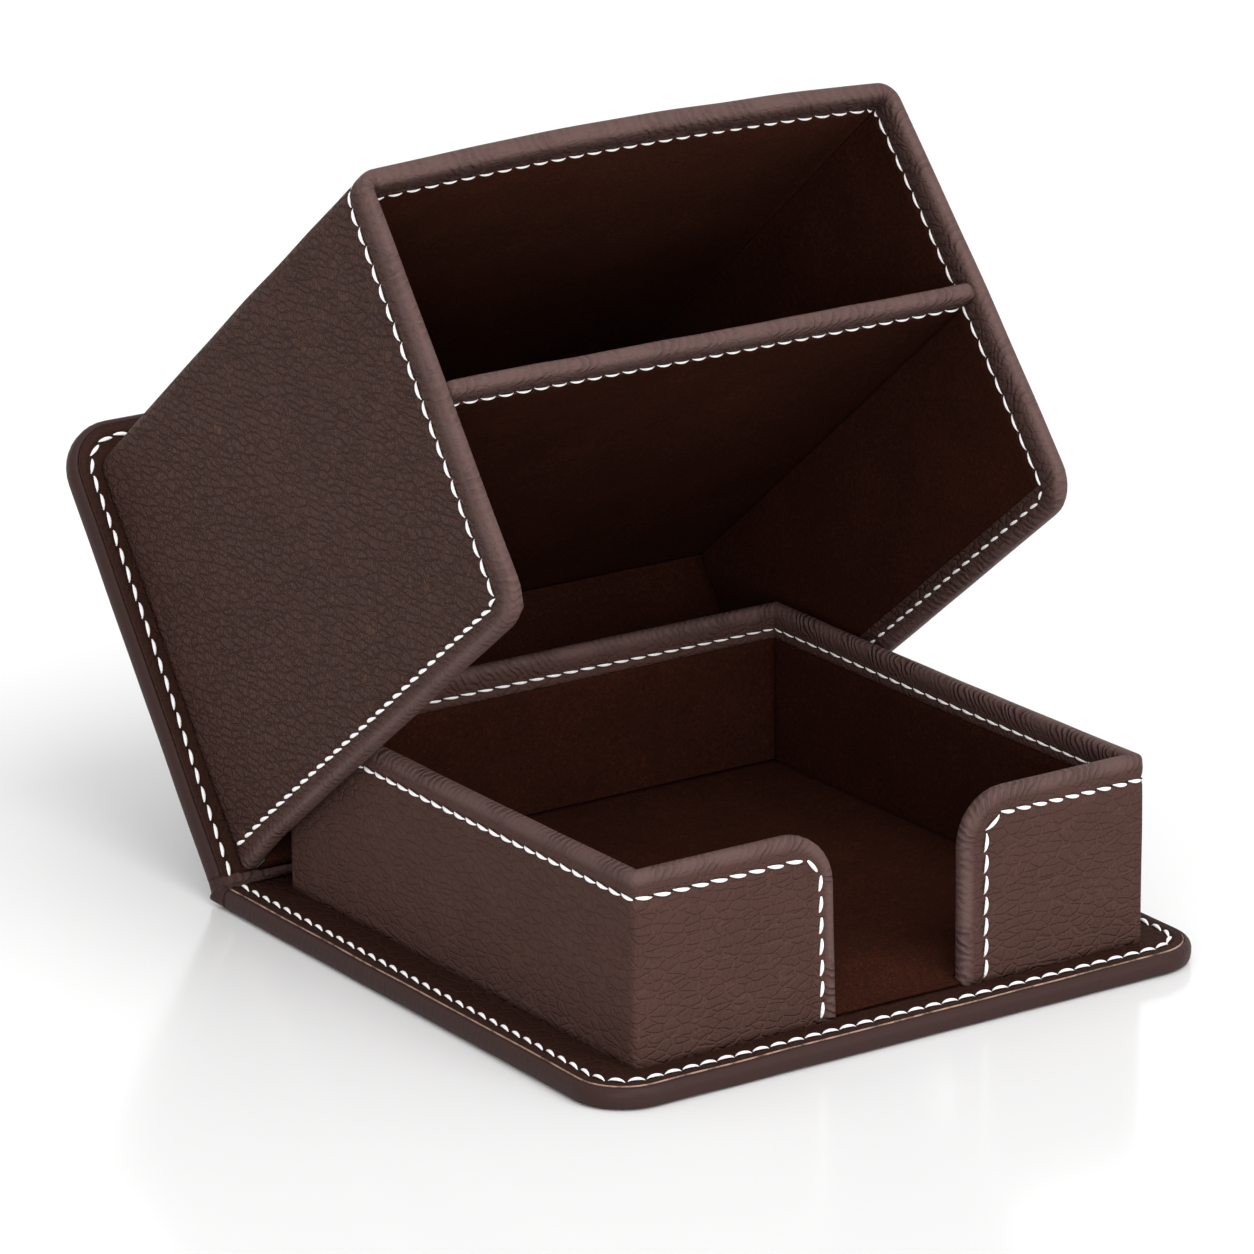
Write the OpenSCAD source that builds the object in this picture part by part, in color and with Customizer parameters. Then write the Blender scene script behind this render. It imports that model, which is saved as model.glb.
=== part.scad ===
// Desk organizer with lift lid: a leather-covered folding board with a memo tray on its lower half
// and a two-compartment box on its upper half, joined by a leather spine at the back.
// Origin: centre of the lower board's underside. +X to the right, +Y to the hinge, +Z up. Millimetres.

/* [Boards] */
// Width of the lower and upper board
board_w = 140; // [120:1:180]
// Depth of the lower board, front edge to hinge gap
base_len = 137; // [130:1:160]
// Thickness of the covered lower board
base_t = 4.4; // [4:0.1:6]
// Length of the upper board, hinge gap to far edge
lid_len = 98.4; // [96:0.1:120]
// Thickness of the covered upper board
lid_t = 4.6; // [4.2:0.1:6]
// Plan radius of the boards' outer corners
corner_r = 11; // [6:0.5:16]
// Rounding of the wrapped outer edge
wrap_r = 1.2; // [0.8:0.1:1.4]

/* [Skins] */
// Thickness of the leather
leather_t = 0.8; // [0.6:0.1:1]
// Thickness of the suede lining
suede_t = 0.6; // [0.4:0.1:0.8]
// Thickness of a covered wall
wall_t = 3.2; // [3:0.1:4]
// Width of a thread line
thread_w = 0.6; // [0.4:0.1:0.8]
// Height of a thread line above the leather
thread_h = 0.3; // [0.2:0.05:0.4]
// Distance of the boards' thread from their edge
board_stitch = 3.7; // [3:0.1:4.5]

/* [Memo tray] */
// Outer width of the tray
tray_w = 118; // [100:1:118]
// Front face of the tray, in front of the origin
tray_front = 60.5; // [50:0.5:61]
// Back face of the tray, behind the origin
tray_back = 62; // [55:0.5:62]
// Height of the tray's rim above the desk
tray_top = 42.5; // [30:0.5:48]
// Plan radius of the tray's outer corners
tray_r = 4; // [3.6:0.1:6]
// Width of the finger notch in the front wall
notch_w = 29.8; // [20:0.1:50]
// Shift of the notch to the right of the centre
notch_shift = 0.7; // [-5:0.1:5]
// Outer radius of the posts' top corners beside the notch
post_r = 9; // [5:0.5:12]
// Distance of the tray's thread below the rim
tray_stitch = 5; // [4:0.1:6]
// Distance of the thread from the notch's left side
post_stitch_left = 3.1; // [3:0.1:6]
// The same at its right side
post_stitch_right = 5.5; // [3:0.1:6]
// Depth of the leather turned in over the tray's rim
tray_turn_in = 7; // [6:0.1:9]
// Height of the padded floor above the lower board
floor_h = 4.4; // [3:0.1:6]
// Length of the floor's sloping front
floor_slope = 10; // [6:0.5:16]

/* [Hinge] */
// Angle between the boards in the rest pose
lid_angle = 126.3; // [89:0.1:180]
// Hinge axis behind the lower board's end
axis_gap = 2.6; // [2.5:0.1:4]
// Height of the hinge axis
axis_z = 2.4; // [2.2:0.05:3]
// Radius of the leather spine
spine_r = 2.1; // [1.8:0.05:2.1]
// Gap from the hinge axis to the upper board
lid_gap = 2.6; // [2.5:0.1:4]

/* [Box] */
// Outer width of the box
box_w = 129; // [125:0.5:130]
// Height of the side panels' lower edge above the axis, at the upper board
low_root = 2.4; // [2.4:0.1:4]
// The same at the mouth
low_mouth = 4.6; // [4.6:0.1:7]
// Height of the top panel above the axis, at the upper board
high_root = 93.6; // [85:0.1:94]
// The same at the mouth
high_mouth = 98.6; // [88:0.1:100]
// Distance of the mouth from the axis, at the lower edge
mouth_low = 132.6; // [110:0.1:134]
// The same at the top edge
mouth_high = 129.1; // [108:0.1:132]
// Corner radius at the lower end of the mouth
mouth_r = 5; // [4:0.5:8]
// Divider's top face above the side panels' lower edge, at the upper board
divider_root = 46.9; // [30:0.1:60]
// The same at the mouth
divider_mouth = 49.2; // [32:0.1:62]
// Distance of the box's thread from its edges
box_stitch = 6.1; // [5:0.1:6.4]
// Depth of the leather turned in over the box's edges
box_turn_in = 6.8; // [6:0.1:8]
// Thickness of the board at the back of the box
box_back_t = 4.2; // [2:0.1:6]

/* [Hidden] */
$fn = 48;
// Overshoot of a cutting tool past the face it cuts
over = 1;
// Half-size of a block that selects one side of the model
far = 200;
// Radius of a rolled edge
rim_r = wall_t / 2;
// Radius of the box's other rolled edges, just under rim_r so that no two bars are tangent
edge_r = rim_r - 0.05;
// How far a wall's stiff board stops short of its rolled edge
board_gap = 1.2;
// How far a cut thread stays from the divider
thread_gap = 0.1;
axis_y = base_len / 2 + axis_gap;
lid_back = base_t / 2;
root_y = lid_t - lid_back;
side_x = box_w / 2;
inner_x = side_x - wall_t;
tray_x = tray_w / 2;
tray_mid = (tray_back - tray_front) / 2;
tray_d = tray_front + tray_back;
notch_l = notch_shift - notch_w / 2;
// Depth at which a wall's lining begins, from its outer face
lining_in = wall_t - suede_t;
// Tongue that ties the spine into the lower board: its length, thickness and reach past the axis
tongue_len = 12;
tongue_t = 0.6;
tongue_reach = -1;
// Height of the floor board's front edge, and how far its lining stands clear of the notch
toe = 0.8;
lining_gap = 0.2;
leather = [0.25, 0.18, 0.16];
edge_leather = [0.30, 0.22, 0.20];
suede = [0.25, 0.10, 0.06];
greyboard = [0.62, 0.58, 0.52];
white_thread = [0.94, 0.93, 0.90];

// The box's outline as seen from the side, in the lid's own frame: [y, z] from the hinge axis
low_back = [-root_y, low_root];
low_front = [-mouth_low, low_mouth];
high_front = [-mouth_high, high_mouth];
high_back = [-root_y, high_root];

// Direction from p to q, and the normal on the box's inner side of that line
function unit(v) = v / norm(v);
function inward(p, q) = [unit(q - p)[1], -unit(q - p)[0]];
// Where the line through p along d crosses the line through q along e
function crossing(p, d, q, e) =
    p + d * (((q - p)[0] * e[1] - (q - p)[1] * e[0]) / (d[0] * e[1] - d[1] * e[0]));
// Crossing of line a-b moved in by s with line c-d moved in by t
function inset_corner(a, b, s, c, d, t) =
    crossing(a + s * inward(a, b), b - a, c + t * inward(c, d), d - c);
// The box's outline with each side moved in by its own distance
function box_quad(low, mouth, top, root) = [
    inset_corner(high_back, low_back, root, low_back, low_front, low),
    inset_corner(low_back, low_front, low, low_front, high_front, mouth),
    inset_corner(low_front, high_front, mouth, high_front, high_back, top),
    inset_corner(high_front, high_back, top, high_back, low_back, root)];
mouth_dir = unit(high_front - low_front);
low_in = inward(low_back, low_front);
mouth_in = inward(low_front, high_front);
// Centre of the rounded corner at the lower end of the mouth
round_c = box_quad(mouth_r, mouth_r, 0, 0)[1];
// The divider's top face, from the upper board to the mouth
shelf_back = low_back + [0, divider_root];
shelf_front = low_front + divider_mouth * mouth_dir;
shelf_in = -inward(shelf_back, shelf_front);

// Round bar between two points
module rod(p, q, r) {
    d = q - p;
    translate(p)
        rotate([0, acos(d[2] / norm(d)), atan2(d[1], d[0])])
            cylinder(h = norm(d), r = r);
}

// Rectangle with round corners, centred
module round_rect(w, d, r) {
    square([w - 2 * r, d], center = true);
    square([w, d - 2 * r], center = true);
    for (sx = [-1, 1], sy = [-1, 1])
        translate([sx * (w / 2 - r), sy * (d / 2 - r)])
            circle(r);
}

// Outline in the [y, z] plane raised along X from x0 to x1
module along_x(x0, x1) {
    translate([x0, 0, 0])
        rotate([90, 0, 90])
            linear_extrude(x1 - x0)
                children();
}

// The lid's own frame: origin on the hinge axis, board upright, mouth towards -Y
module lid_frame() {
    translate([0, axis_y, axis_z])
        rotate([90 - lid_angle, 0, 0])
            children();
}

// A flat covered board lies with its hinge end at y = 0, its outer face at z = 0 and its far end at
// y = -len; the next modules make its outline, cover, stiff board, inner leather and thread.
module plate_outline(len, inset) {
    w = board_w / 2 - inset;
    r = corner_r - inset;
    far_y = inset - len;
    translate([-w, far_y + r])
        square([2 * w, -far_y - r]);
    translate([r - w, far_y])
        square([2 * (w - r), r + over]);
    for (s = [-1, 1])
        translate([s * (w - r), far_y + r])
            circle(r);
}

module plate_body(len, top_z) {
    r = wrap_r;
    linear_extrude(top_z)
        plate_outline(len, r);
    translate([0, 0, r])
        linear_extrude(top_z - r)
            plate_outline(len, 0);
    for (s = [-1, 1]) {
        x = board_w / 2 - r;
        rod([s * x, 0, r], [s * x, corner_r - len, r], r);
        translate([s * (board_w / 2 - corner_r), corner_r - len, r])
            rotate([0, 0, s > 0 ? -90 : 180])
                rotate_extrude(angle = 90)
                    translate([corner_r - r, 0])
                        circle(r);
    }
    rod([corner_r - board_w / 2, r - len, r], [board_w / 2 - corner_r, r - len, r], r);
}

module plate_core(len, t) {
    translate([0, 0, leather_t])
        linear_extrude(t - 2 * leather_t)
            plate_outline(len, leather_t);
}

module plate_cover(len, t, hinge_end) {
    color(leather)
        difference() {
            plate_body(len, t - leather_t);
            translate([0, -hinge_end, leather_t])
                linear_extrude(t)
                    plate_outline(len - hinge_end, leather_t);
        }
}

module plate_inner_leather(len, t) {
    color(edge_leather)
        translate([0, 0, t - leather_t])
            linear_extrude(leather_t)
                plate_outline(len, 0);
}

module plate_thread(len, t) {
    color(white_thread)
        translate([0, 0, t])
            linear_extrude(thread_h)
                intersection() {
                    difference() {
                        plate_outline(len, board_stitch - thread_w / 2);
                        plate_outline(len, board_stitch + thread_w / 2);
                    }
                    translate([-far, -far])
                        square([2 * far, far - board_stitch / 2]);
                }
}

module base_place() {
    translate([0, base_len / 2, 0])
        children();
}

module lid_place() {
    lid_frame()
        translate([0, lid_back, lid_gap])
            rotate([90, 0, 0])
                mirror([0, 1, 0])
                    children();
}

// The spine's tongue lies under the lower board's core
module tongue() {
    translate([-board_w / 2 + leather_t, base_len / 2 - tongue_len, leather_t])
        cube([board_w - 2 * leather_t, tongue_len + axis_gap + tongue_reach, tongue_t]);
}

module base_board() {
    color(greyboard)
        difference() {
            base_place()
                plate_core(base_len, base_t);
            tongue();
        }
}

module base_cover() {
    base_place()
        plate_cover(base_len, base_t, 0);
}

module base_top_leather() {
    base_place()
        plate_inner_leather(base_len, base_t);
}

module base_thread() {
    base_place()
        plate_thread(base_len, base_t);
}

module spine() {
    color(leather) {
        tongue();
        rod([-board_w / 2, axis_y, axis_z], [board_w / 2, axis_y, axis_z], spine_r);
    }
}

// Tray: outline in plan, moved in from its outer faces
module tray_outline(inset) {
    translate([0, tray_mid])
        round_rect(tray_w - 2 * inset, tray_d - 2 * inset, tray_r - inset);
}

// Band of the tray's walls between two depths, from the lower board up to a height
module tray_band(outer, inner, top_z) {
    translate([0, 0, base_t])
        linear_extrude(top_z - base_t)
            difference() {
                tray_outline(outer);
                tray_outline(inner);
            }
}

// The notch with the posts' round corners, moved back from its edges by inset
module notch_window(inset) {
    r = post_r - inset;
    translate([0, over - tray_front + wall_t, 0])
        rotate([90, 0, 0])
            linear_extrude(wall_t + 2 * over)
                union() {
                    translate([notch_l - inset, 0])
                        square([notch_w + 2 * inset, tray_top + over]);
                    for (s = [-1, 1]) {
                        cx = notch_shift + s * (notch_w / 2 + post_r);
                        cz = tray_top - post_r;
                        difference() {
                            translate([min(cx, cx - s * post_r), cz])
                                square([post_r, post_r + over]);
                            translate([cx, cz])
                                circle(r);
                        }
                    }
                }
}

// The tray's walls as one body with rolled edges, before it is divided into leather, board and lining
module tray_body() {
    z = tray_top - rim_r;
    x = tray_x - rim_r;
    front = rim_r - tray_front;
    back = tray_back - rim_r;
    corner = tray_r - rim_r;
    difference() {
        tray_band(0, wall_t, z);
        notch_window(rim_r);
    }
    for (s = [-1, 1]) {
        rod([s * x, front + corner, z], [s * x, back - corner, z], rim_r);
        translate([s * (x - corner), front + corner, z])
            rotate([0, 0, s > 0 ? -90 : 180])
                rotate_extrude(angle = 90)
                    translate([corner, 0])
                        circle(rim_r);
        translate([s * (x - corner), back - corner, z])
            rotate([0, 0, s > 0 ? 0 : 90])
                rotate_extrude(angle = 90)
                    translate([corner, 0])
                        circle(rim_r);
    }
    rod([corner - x, back, z], [x - corner, back, z], rim_r);
    for (s = [-1, 1]) {
        edge = notch_shift + s * (notch_w / 2 + rim_r);
        cx = notch_shift + s * (notch_w / 2 + post_r);
        cz = tray_top - post_r;
        rod([s * (x - corner), front, z], [cx, front, z], rim_r);
        rod([edge, front, base_t], [edge, front, cz], rim_r);
        translate([cx, front, cz])
            rotate([90, 0, 0])
                rotate([0, 0, s > 0 ? 90 : 0])
                    rotate_extrude(angle = 90)
                        translate([post_r - rim_r, 0])
                            circle(rim_r);
    }
}

// Stiff boards inside the tray's walls, all five together
module tray_cores() {
    difference() {
        tray_band(leather_t, lining_in, tray_top - board_gap);
        notch_window(board_gap);
    }
}

// Suede on the inner side of the tray's walls, all five together
module tray_linings() {
    reach = tray_turn_in - rim_r;
    difference() {
        tray_band(lining_in, wall_t, tray_top - tray_turn_in);
        translate([notch_l - reach, -tray_front - over, 0])
            cube([notch_w + 2 * reach, wall_t + 2 * over, tray_top]);
    }
}

// Blocks that pick one wall out of a band: depth is the band's inner face from the outer face
module pick_side(s, depth) {
    x = tray_x - depth;
    translate([s > 0 ? x : -far, -far / 2, 0])
        cube([far - x, far, far]);
}

module pick_back(depth) {
    translate([depth - tray_x, tray_back - depth, 0])
        cube([2 * (tray_x - depth), far, far]);
}

module pick_front(s, depth) {
    x = tray_x - depth;
    translate([s > 0 ? notch_shift : -x, -far, 0])
        cube([s > 0 ? x - notch_shift : x + notch_shift, far - tray_front + depth, far]);
}

module tray_left_board() {
    color(greyboard)
        intersection() {
            tray_cores();
            pick_side(-1, lining_in);
        }
}

module tray_right_board() {
    color(greyboard)
        intersection() {
            tray_cores();
            pick_side(1, lining_in);
        }
}

module tray_back_board() {
    color(greyboard)
        intersection() {
            tray_cores();
            pick_back(lining_in);
        }
}

module tray_front_left_board() {
    color(greyboard)
        intersection() {
            tray_cores();
            pick_front(-1, lining_in);
        }
}

module tray_front_right_board() {
    color(greyboard)
        intersection() {
            tray_cores();
            pick_front(1, lining_in);
        }
}

module tray_cover() {
    color(leather)
        difference() {
            tray_body();
            tray_cores();
            tray_linings();
        }
}

module tray_left_lining() {
    color(suede)
        intersection() {
            tray_linings();
            pick_side(-1, wall_t);
        }
}

module tray_right_lining() {
    color(suede)
        intersection() {
            tray_linings();
            pick_side(1, wall_t);
        }
}

module tray_back_lining() {
    color(suede)
        intersection() {
            tray_linings();
            pick_back(wall_t);
        }
}

module tray_front_left_lining() {
    color(suede)
        intersection() {
            tray_linings();
            pick_front(-1, wall_t);
        }
}

module tray_front_right_lining() {
    color(suede)
        intersection() {
            tray_linings();
            pick_front(1, wall_t);
        }
}

// Side view of the floor: flat behind, sloping down to the notch in front; lift raises its face
module floor_profile(lift) {
    inner_front = wall_t - tray_front;
    inner_back = tray_back - wall_t - thread_h;
    polygon([
        [inner_front, base_t],
        [inner_front, base_t + toe + lift],
        [inner_front + floor_slope, base_t + floor_h + lift],
        [inner_back, base_t + floor_h + lift],
        [inner_back, base_t]]);
}

module floor_solid(lift) {
    half = tray_x - wall_t - thread_h;
    along_x(-half, half)
        floor_profile(lift);
}

module tray_floor_board() {
    color(greyboard)
        floor_solid(0);
}

module tray_floor_lining() {
    color(suede) {
        difference() {
            floor_solid(suede_t);
            floor_solid(0);
        }
        translate([notch_l + lining_gap, -tray_front - lining_gap, base_t])
            cube([notch_w - 2 * lining_gap, wall_t + lining_gap, toe + suede_t]);
    }
}

// Thread round the tray: a line on the outer faces and one on the inner faces, below the rim and
// down both sides of the notch
module tray_thread() {
    z = tray_top - tray_stitch;
    color(white_thread) {
        difference() {
            thread_ring(-thread_h, 0, z);
            thread_break();
        }
        difference() {
            thread_ring(wall_t, wall_t + thread_h, z);
            thread_break();
        }
        for (x = [notch_l - post_stitch_left, notch_l + notch_w + post_stitch_right])
            translate([x - thread_w / 2, -tray_front - thread_h, base_t])
                cube([thread_w, thread_h, z - base_t + thread_w / 2]);
    }
}

module thread_ring(outer, inner, z) {
    translate([0, 0, z - thread_w / 2])
        linear_extrude(thread_w)
            difference() {
                tray_outline(outer);
                tray_outline(inner);
            }
}

module thread_break() {
    left = post_stitch_left + thread_w / 2;
    right = post_stitch_right + thread_w / 2;
    translate([notch_l - left, -tray_front - over, 0])
        cube([notch_w + left + right, wall_t + 2 * over, tray_top]);
}

module lid_board() {
    color(greyboard)
        lid_place()
            translate([0, -leather_t, 0])
                plate_core(lid_len - leather_t, lid_t);
}

module lid_cover() {
    lid_place()
        plate_cover(lid_len, lid_t, leather_t);
}

module lid_front_leather() {
    lid_place()
        plate_inner_leather(lid_len, lid_t);
}

module lid_thread() {
    lid_place()
        plate_thread(lid_len, lid_t);
}

// The box's side outline moved in all round by inset, with its lower mouth corner rounded
module side_outline(inset, top) {
    pts = box_quad(inset, inset, top, 0);
    r = mouth_r - inset;
    difference() {
        polygon(pts);
        difference() {
            polygon([
                pts[1] - over * (low_in + mouth_in),
                round_c - r * low_in,
                round_c,
                round_c - r * mouth_in]);
            translate(round_c)
                circle(r);
        }
    }
}

// Side panel as one body with rolled lower and mouth edges
module side_body(s) {
    x = s * (side_x - rim_r);
    rim = box_quad(rim_r, rim_r, rim_r, 0);
    low_end = round_c - (mouth_r - rim_r) * low_in;
    mouth_end = round_c - (mouth_r - rim_r) * mouth_in;
    along_x(x - rim_r, x + rim_r)
        side_outline(rim_r, rim_r);
    rod([x, rim[0][0], rim[0][1]], [x, low_end[0], low_end[1]], rim_r);
    rod([x, mouth_end[0], mouth_end[1]], [x, rim[2][0], rim[2][1]], rim_r);
    rod([x, rim[2][0], rim[2][1]], [x, rim[3][0], rim[3][1]], edge_r);
    translate([x, rim[2][0], rim[2][1]])
        sphere(rim_r);
    start = atan2(-mouth_in[1], -mouth_in[0]);
    end = atan2(-low_in[1], -low_in[0]) + 360;
    translate([x, round_c[0], round_c[1]])
        rotate([90, 0, 90])
            rotate([0, 0, start])
                rotate_extrude(angle = end - start)
                    translate([mouth_r - rim_r, 0])
                        circle(rim_r);
}

// Strip of the top panel between two depths below its outer face
module top_strip(outer, inner, mouth, half) {
    a = box_quad(0, mouth, outer, 0);
    b = box_quad(0, mouth, inner, 0);
    along_x(-half, half)
        polygon([a[2], a[3], b[3], b[2]]);
}

module box_body() {
    rim = box_quad(rim_r, rim_r, rim_r, 0);
    for (s = [-1, 1])
        side_body(s);
    top_strip(0, wall_t, rim_r, side_x - rim_r);
    rod([rim_r - side_x, rim[2][0], rim[2][1]], [side_x - rim_r, rim[2][0], rim[2][1]], edge_r);
}

module side_core(s) {
    x = s * (side_x - leather_t);
    x_in = s * (side_x - lining_in);
    along_x(min(x, x_in), max(x, x_in))
        side_outline(board_gap, leather_t);
}

module side_lining(s) {
    x = s * (side_x - lining_in);
    x_in = s * inner_x;
    along_x(min(x, x_in), max(x, x_in))
        polygon(box_quad(box_turn_in, box_turn_in, wall_t, 0));
}

module top_core() {
    top_strip(leather_t, lining_in, board_gap, side_x - lining_in);
}

module top_lining() {
    top_strip(lining_in, wall_t, box_turn_in, side_x - lining_in);
}

module box_cover() {
    color(leather)
        lid_frame()
            difference() {
                box_body();
                for (s = [-1, 1]) {
                    side_core(s);
                    side_lining(s);
                }
                top_core();
                top_lining();
            }
}

module box_left_board() {
    color(greyboard)
        lid_frame()
            side_core(-1);
}

module box_right_board() {
    color(greyboard)
        lid_frame()
            side_core(1);
}

module box_top_board() {
    color(greyboard)
        lid_frame()
            top_core();
}

module box_left_lining() {
    color(suede)
        lid_frame()
            side_lining(-1);
}

module box_right_lining() {
    color(suede)
        lid_frame()
            side_lining(1);
}

module box_top_lining() {
    color(suede)
        lid_frame()
            top_lining();
}

// Slab at the back of the box between two depths from the upper board
module back_slab(outer, inner) {
    a = box_quad(suede_t, 0, wall_t, outer);
    b = box_quad(suede_t, 0, wall_t, inner);
    along_x(-inner_x, inner_x)
        polygon([a[0], a[3], b[3], b[0]]);
}

module box_back_board() {
    color(greyboard)
        lid_frame()
            back_slab(0, box_back_t);
}

module box_back_lining() {
    color(suede)
        lid_frame()
            back_slab(box_back_t, box_back_t + suede_t);
}

// Side view of the divider between two depths below its top face, from one distance behind the
// mouth to another, or to the back lining where last is 0
function shelf_point(depth, from_mouth) =
    crossing(shelf_back + depth * shelf_in, shelf_front - shelf_back,
        low_front + from_mouth * mouth_in, mouth_dir);
function shelf_root(depth) =
    crossing(shelf_back + depth * shelf_in, shelf_front - shelf_back,
        [-root_y - box_back_t - suede_t, 0], [0, 1]);
module shelf_slice(upper, lower, first, last) {
    along_x(-inner_x, inner_x)
        polygon([
            shelf_point(upper, first),
            shelf_point(lower, first),
            last > 0 ? shelf_point(lower, last) : shelf_root(lower),
            last > 0 ? shelf_point(upper, last) : shelf_root(upper)]);
}

module shelf_rim() {
    c = shelf_point(rim_r, rim_r);
    rod([-inner_x, c[0], c[1]], [inner_x, c[0], c[1]], rim_r);
}

module shelf_core() {
    shelf_slice(suede_t, wall_t - suede_t, board_gap, 0);
}

module divider_board() {
    color(greyboard)
        lid_frame()
            shelf_core();
}

module divider_cover() {
    color(edge_leather)
        lid_frame()
            difference() {
                union() {
                    shelf_slice(0, wall_t, rim_r, box_turn_in);
                    shelf_rim();
                }
                shelf_core();
            }
}

module divider_upper_lining() {
    color(suede)
        lid_frame()
            shelf_slice(0, suede_t, box_turn_in, 0);
}

module divider_lower_lining() {
    color(suede)
        lid_frame()
            shelf_slice(wall_t - suede_t, wall_t, box_turn_in, 0);
}

module divider_thread() {
    near = box_stitch - thread_w / 2;
    away = box_stitch + thread_w / 2;
    color(white_thread)
        lid_frame() {
            shelf_slice(-thread_h, 0, near, away);
            shelf_slice(wall_t, wall_t + thread_h, near, away);
        }
}

// Side panels' thread line between two X values, along the lower and mouth edges
module side_thread(x0, x1, top) {
    near = box_stitch - thread_w / 2;
    away = box_stitch + thread_w / 2;
    root = thread_gap;
    along_x(x0, x1)
        difference() {
            polygon(box_quad(near, near, top, root));
            polygon(box_quad(away, away, top - over, root - over));
        }
}

module box_thread() {
    near = box_stitch - thread_w / 2;
    away = box_stitch + thread_w / 2;
    half = inner_x - thread_h - thread_gap;
    color(white_thread)
        lid_frame()
            difference() {
                union() {
                    side_thread(side_x, side_x + thread_h, rim_r);
                    side_thread(-side_x - thread_h, -side_x, rim_r);
                    side_thread(inner_x - thread_h, inner_x, wall_t + thread_h);
                    side_thread(-inner_x, thread_h - inner_x, wall_t + thread_h);
                    top_thread(-thread_h, 0, side_x - rim_r);
                    top_thread(wall_t, wall_t + thread_h, half);
                }
                clear_of_divider();
                clear_of_back();
            }
}

module top_thread(outer, inner, half) {
    near = box_stitch - thread_w / 2;
    away = box_stitch + thread_w / 2;
    a = box_quad(0, near, outer, 0);
    b = box_quad(0, away, outer, 0);
    c = box_quad(0, away, inner, 0);
    d = box_quad(0, near, inner, 0);
    along_x(-half, half)
        polygon([a[2], b[2], c[2], d[2]]);
}

// Room round the divider and its thread, inside the box
module clear_of_divider() {
    margin = thread_h + thread_gap;
    along_x(-inner_x, inner_x)
        polygon([
            shelf_point(-margin, -over),
            shelf_point(wall_t + margin, -over),
            shelf_root(wall_t + margin),
            shelf_root(-margin)]);
}

module clear_of_back() {
    a = box_quad(0, 0, 0, -over);
    b = box_quad(0, 0, 0, box_back_t + suede_t + thread_gap);
    along_x(-inner_x, inner_x)
        polygon([a[0], a[3], b[3], b[0]]);
}

base_board();
base_cover();
base_top_leather();
base_thread();
spine();
tray_left_board();
tray_right_board();
tray_back_board();
tray_front_left_board();
tray_front_right_board();
tray_cover();
tray_left_lining();
tray_right_lining();
tray_back_lining();
tray_front_left_lining();
tray_front_right_lining();
tray_floor_board();
tray_floor_lining();
tray_thread();
lid_board();
lid_cover();
lid_front_leather();
lid_thread();
box_left_board();
box_right_board();
box_top_board();
box_back_board();
box_cover();
box_left_lining();
box_right_lining();
box_top_lining();
box_back_lining();
box_thread();
divider_board();
divider_cover();
divider_upper_lining();
divider_lower_lining();
divider_thread();
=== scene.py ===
"""Looks of the leather desk organizer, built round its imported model.

The lower board with its memo tray and the upper board with its two-compartment box are dressed in
pebbled leather, suede and white running stitches. Lengths are in millimetres until a mesh is made.
"""
import logging
import math
from dataclasses import dataclass, field
from enum import Enum

import bmesh
import bpy
import numpy as np
from mathutils import Matrix


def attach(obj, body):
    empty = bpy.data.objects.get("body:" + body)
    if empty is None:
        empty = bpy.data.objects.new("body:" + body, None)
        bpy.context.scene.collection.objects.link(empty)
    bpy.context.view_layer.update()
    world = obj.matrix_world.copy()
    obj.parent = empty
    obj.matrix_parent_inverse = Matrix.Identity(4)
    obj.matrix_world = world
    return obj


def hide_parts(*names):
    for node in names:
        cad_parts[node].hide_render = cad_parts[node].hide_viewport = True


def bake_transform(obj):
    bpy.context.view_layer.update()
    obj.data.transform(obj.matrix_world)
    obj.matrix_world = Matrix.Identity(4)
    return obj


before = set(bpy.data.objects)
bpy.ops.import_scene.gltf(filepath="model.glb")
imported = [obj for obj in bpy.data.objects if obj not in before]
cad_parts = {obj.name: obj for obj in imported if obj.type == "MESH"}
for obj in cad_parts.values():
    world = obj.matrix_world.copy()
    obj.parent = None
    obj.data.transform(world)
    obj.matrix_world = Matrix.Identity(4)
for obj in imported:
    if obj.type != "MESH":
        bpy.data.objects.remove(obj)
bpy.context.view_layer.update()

log = logging.getLogger("desk_organizer")
MM = 0.001
# Photograph: side of the square image and focal length, in its pixels
IMAGE_SIDE = 1254.0
FOCAL = 6644.55
# Hinge axis in side view, and the lid's angle past upright in the photograph
HINGE_Y, HINGE_Z = 71.1, 2.4
LID_TILT = math.radians(126.3 - 90)
# Least radius that a bend keeps on its inner side
LEAST_BEND = 0.12


class Slot(Enum):
    """The record's material slots."""

    LEATHER = "leather"
    SUEDE = "suede"
    BOARD = "board"
    THREAD = "thread"


class Body(Enum):
    """The model's two bodies."""

    BASE = "base"
    LID = "lid"


# Shapes: folded lines, surfaces that cut sheets lie on, and drafts of meshes


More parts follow.
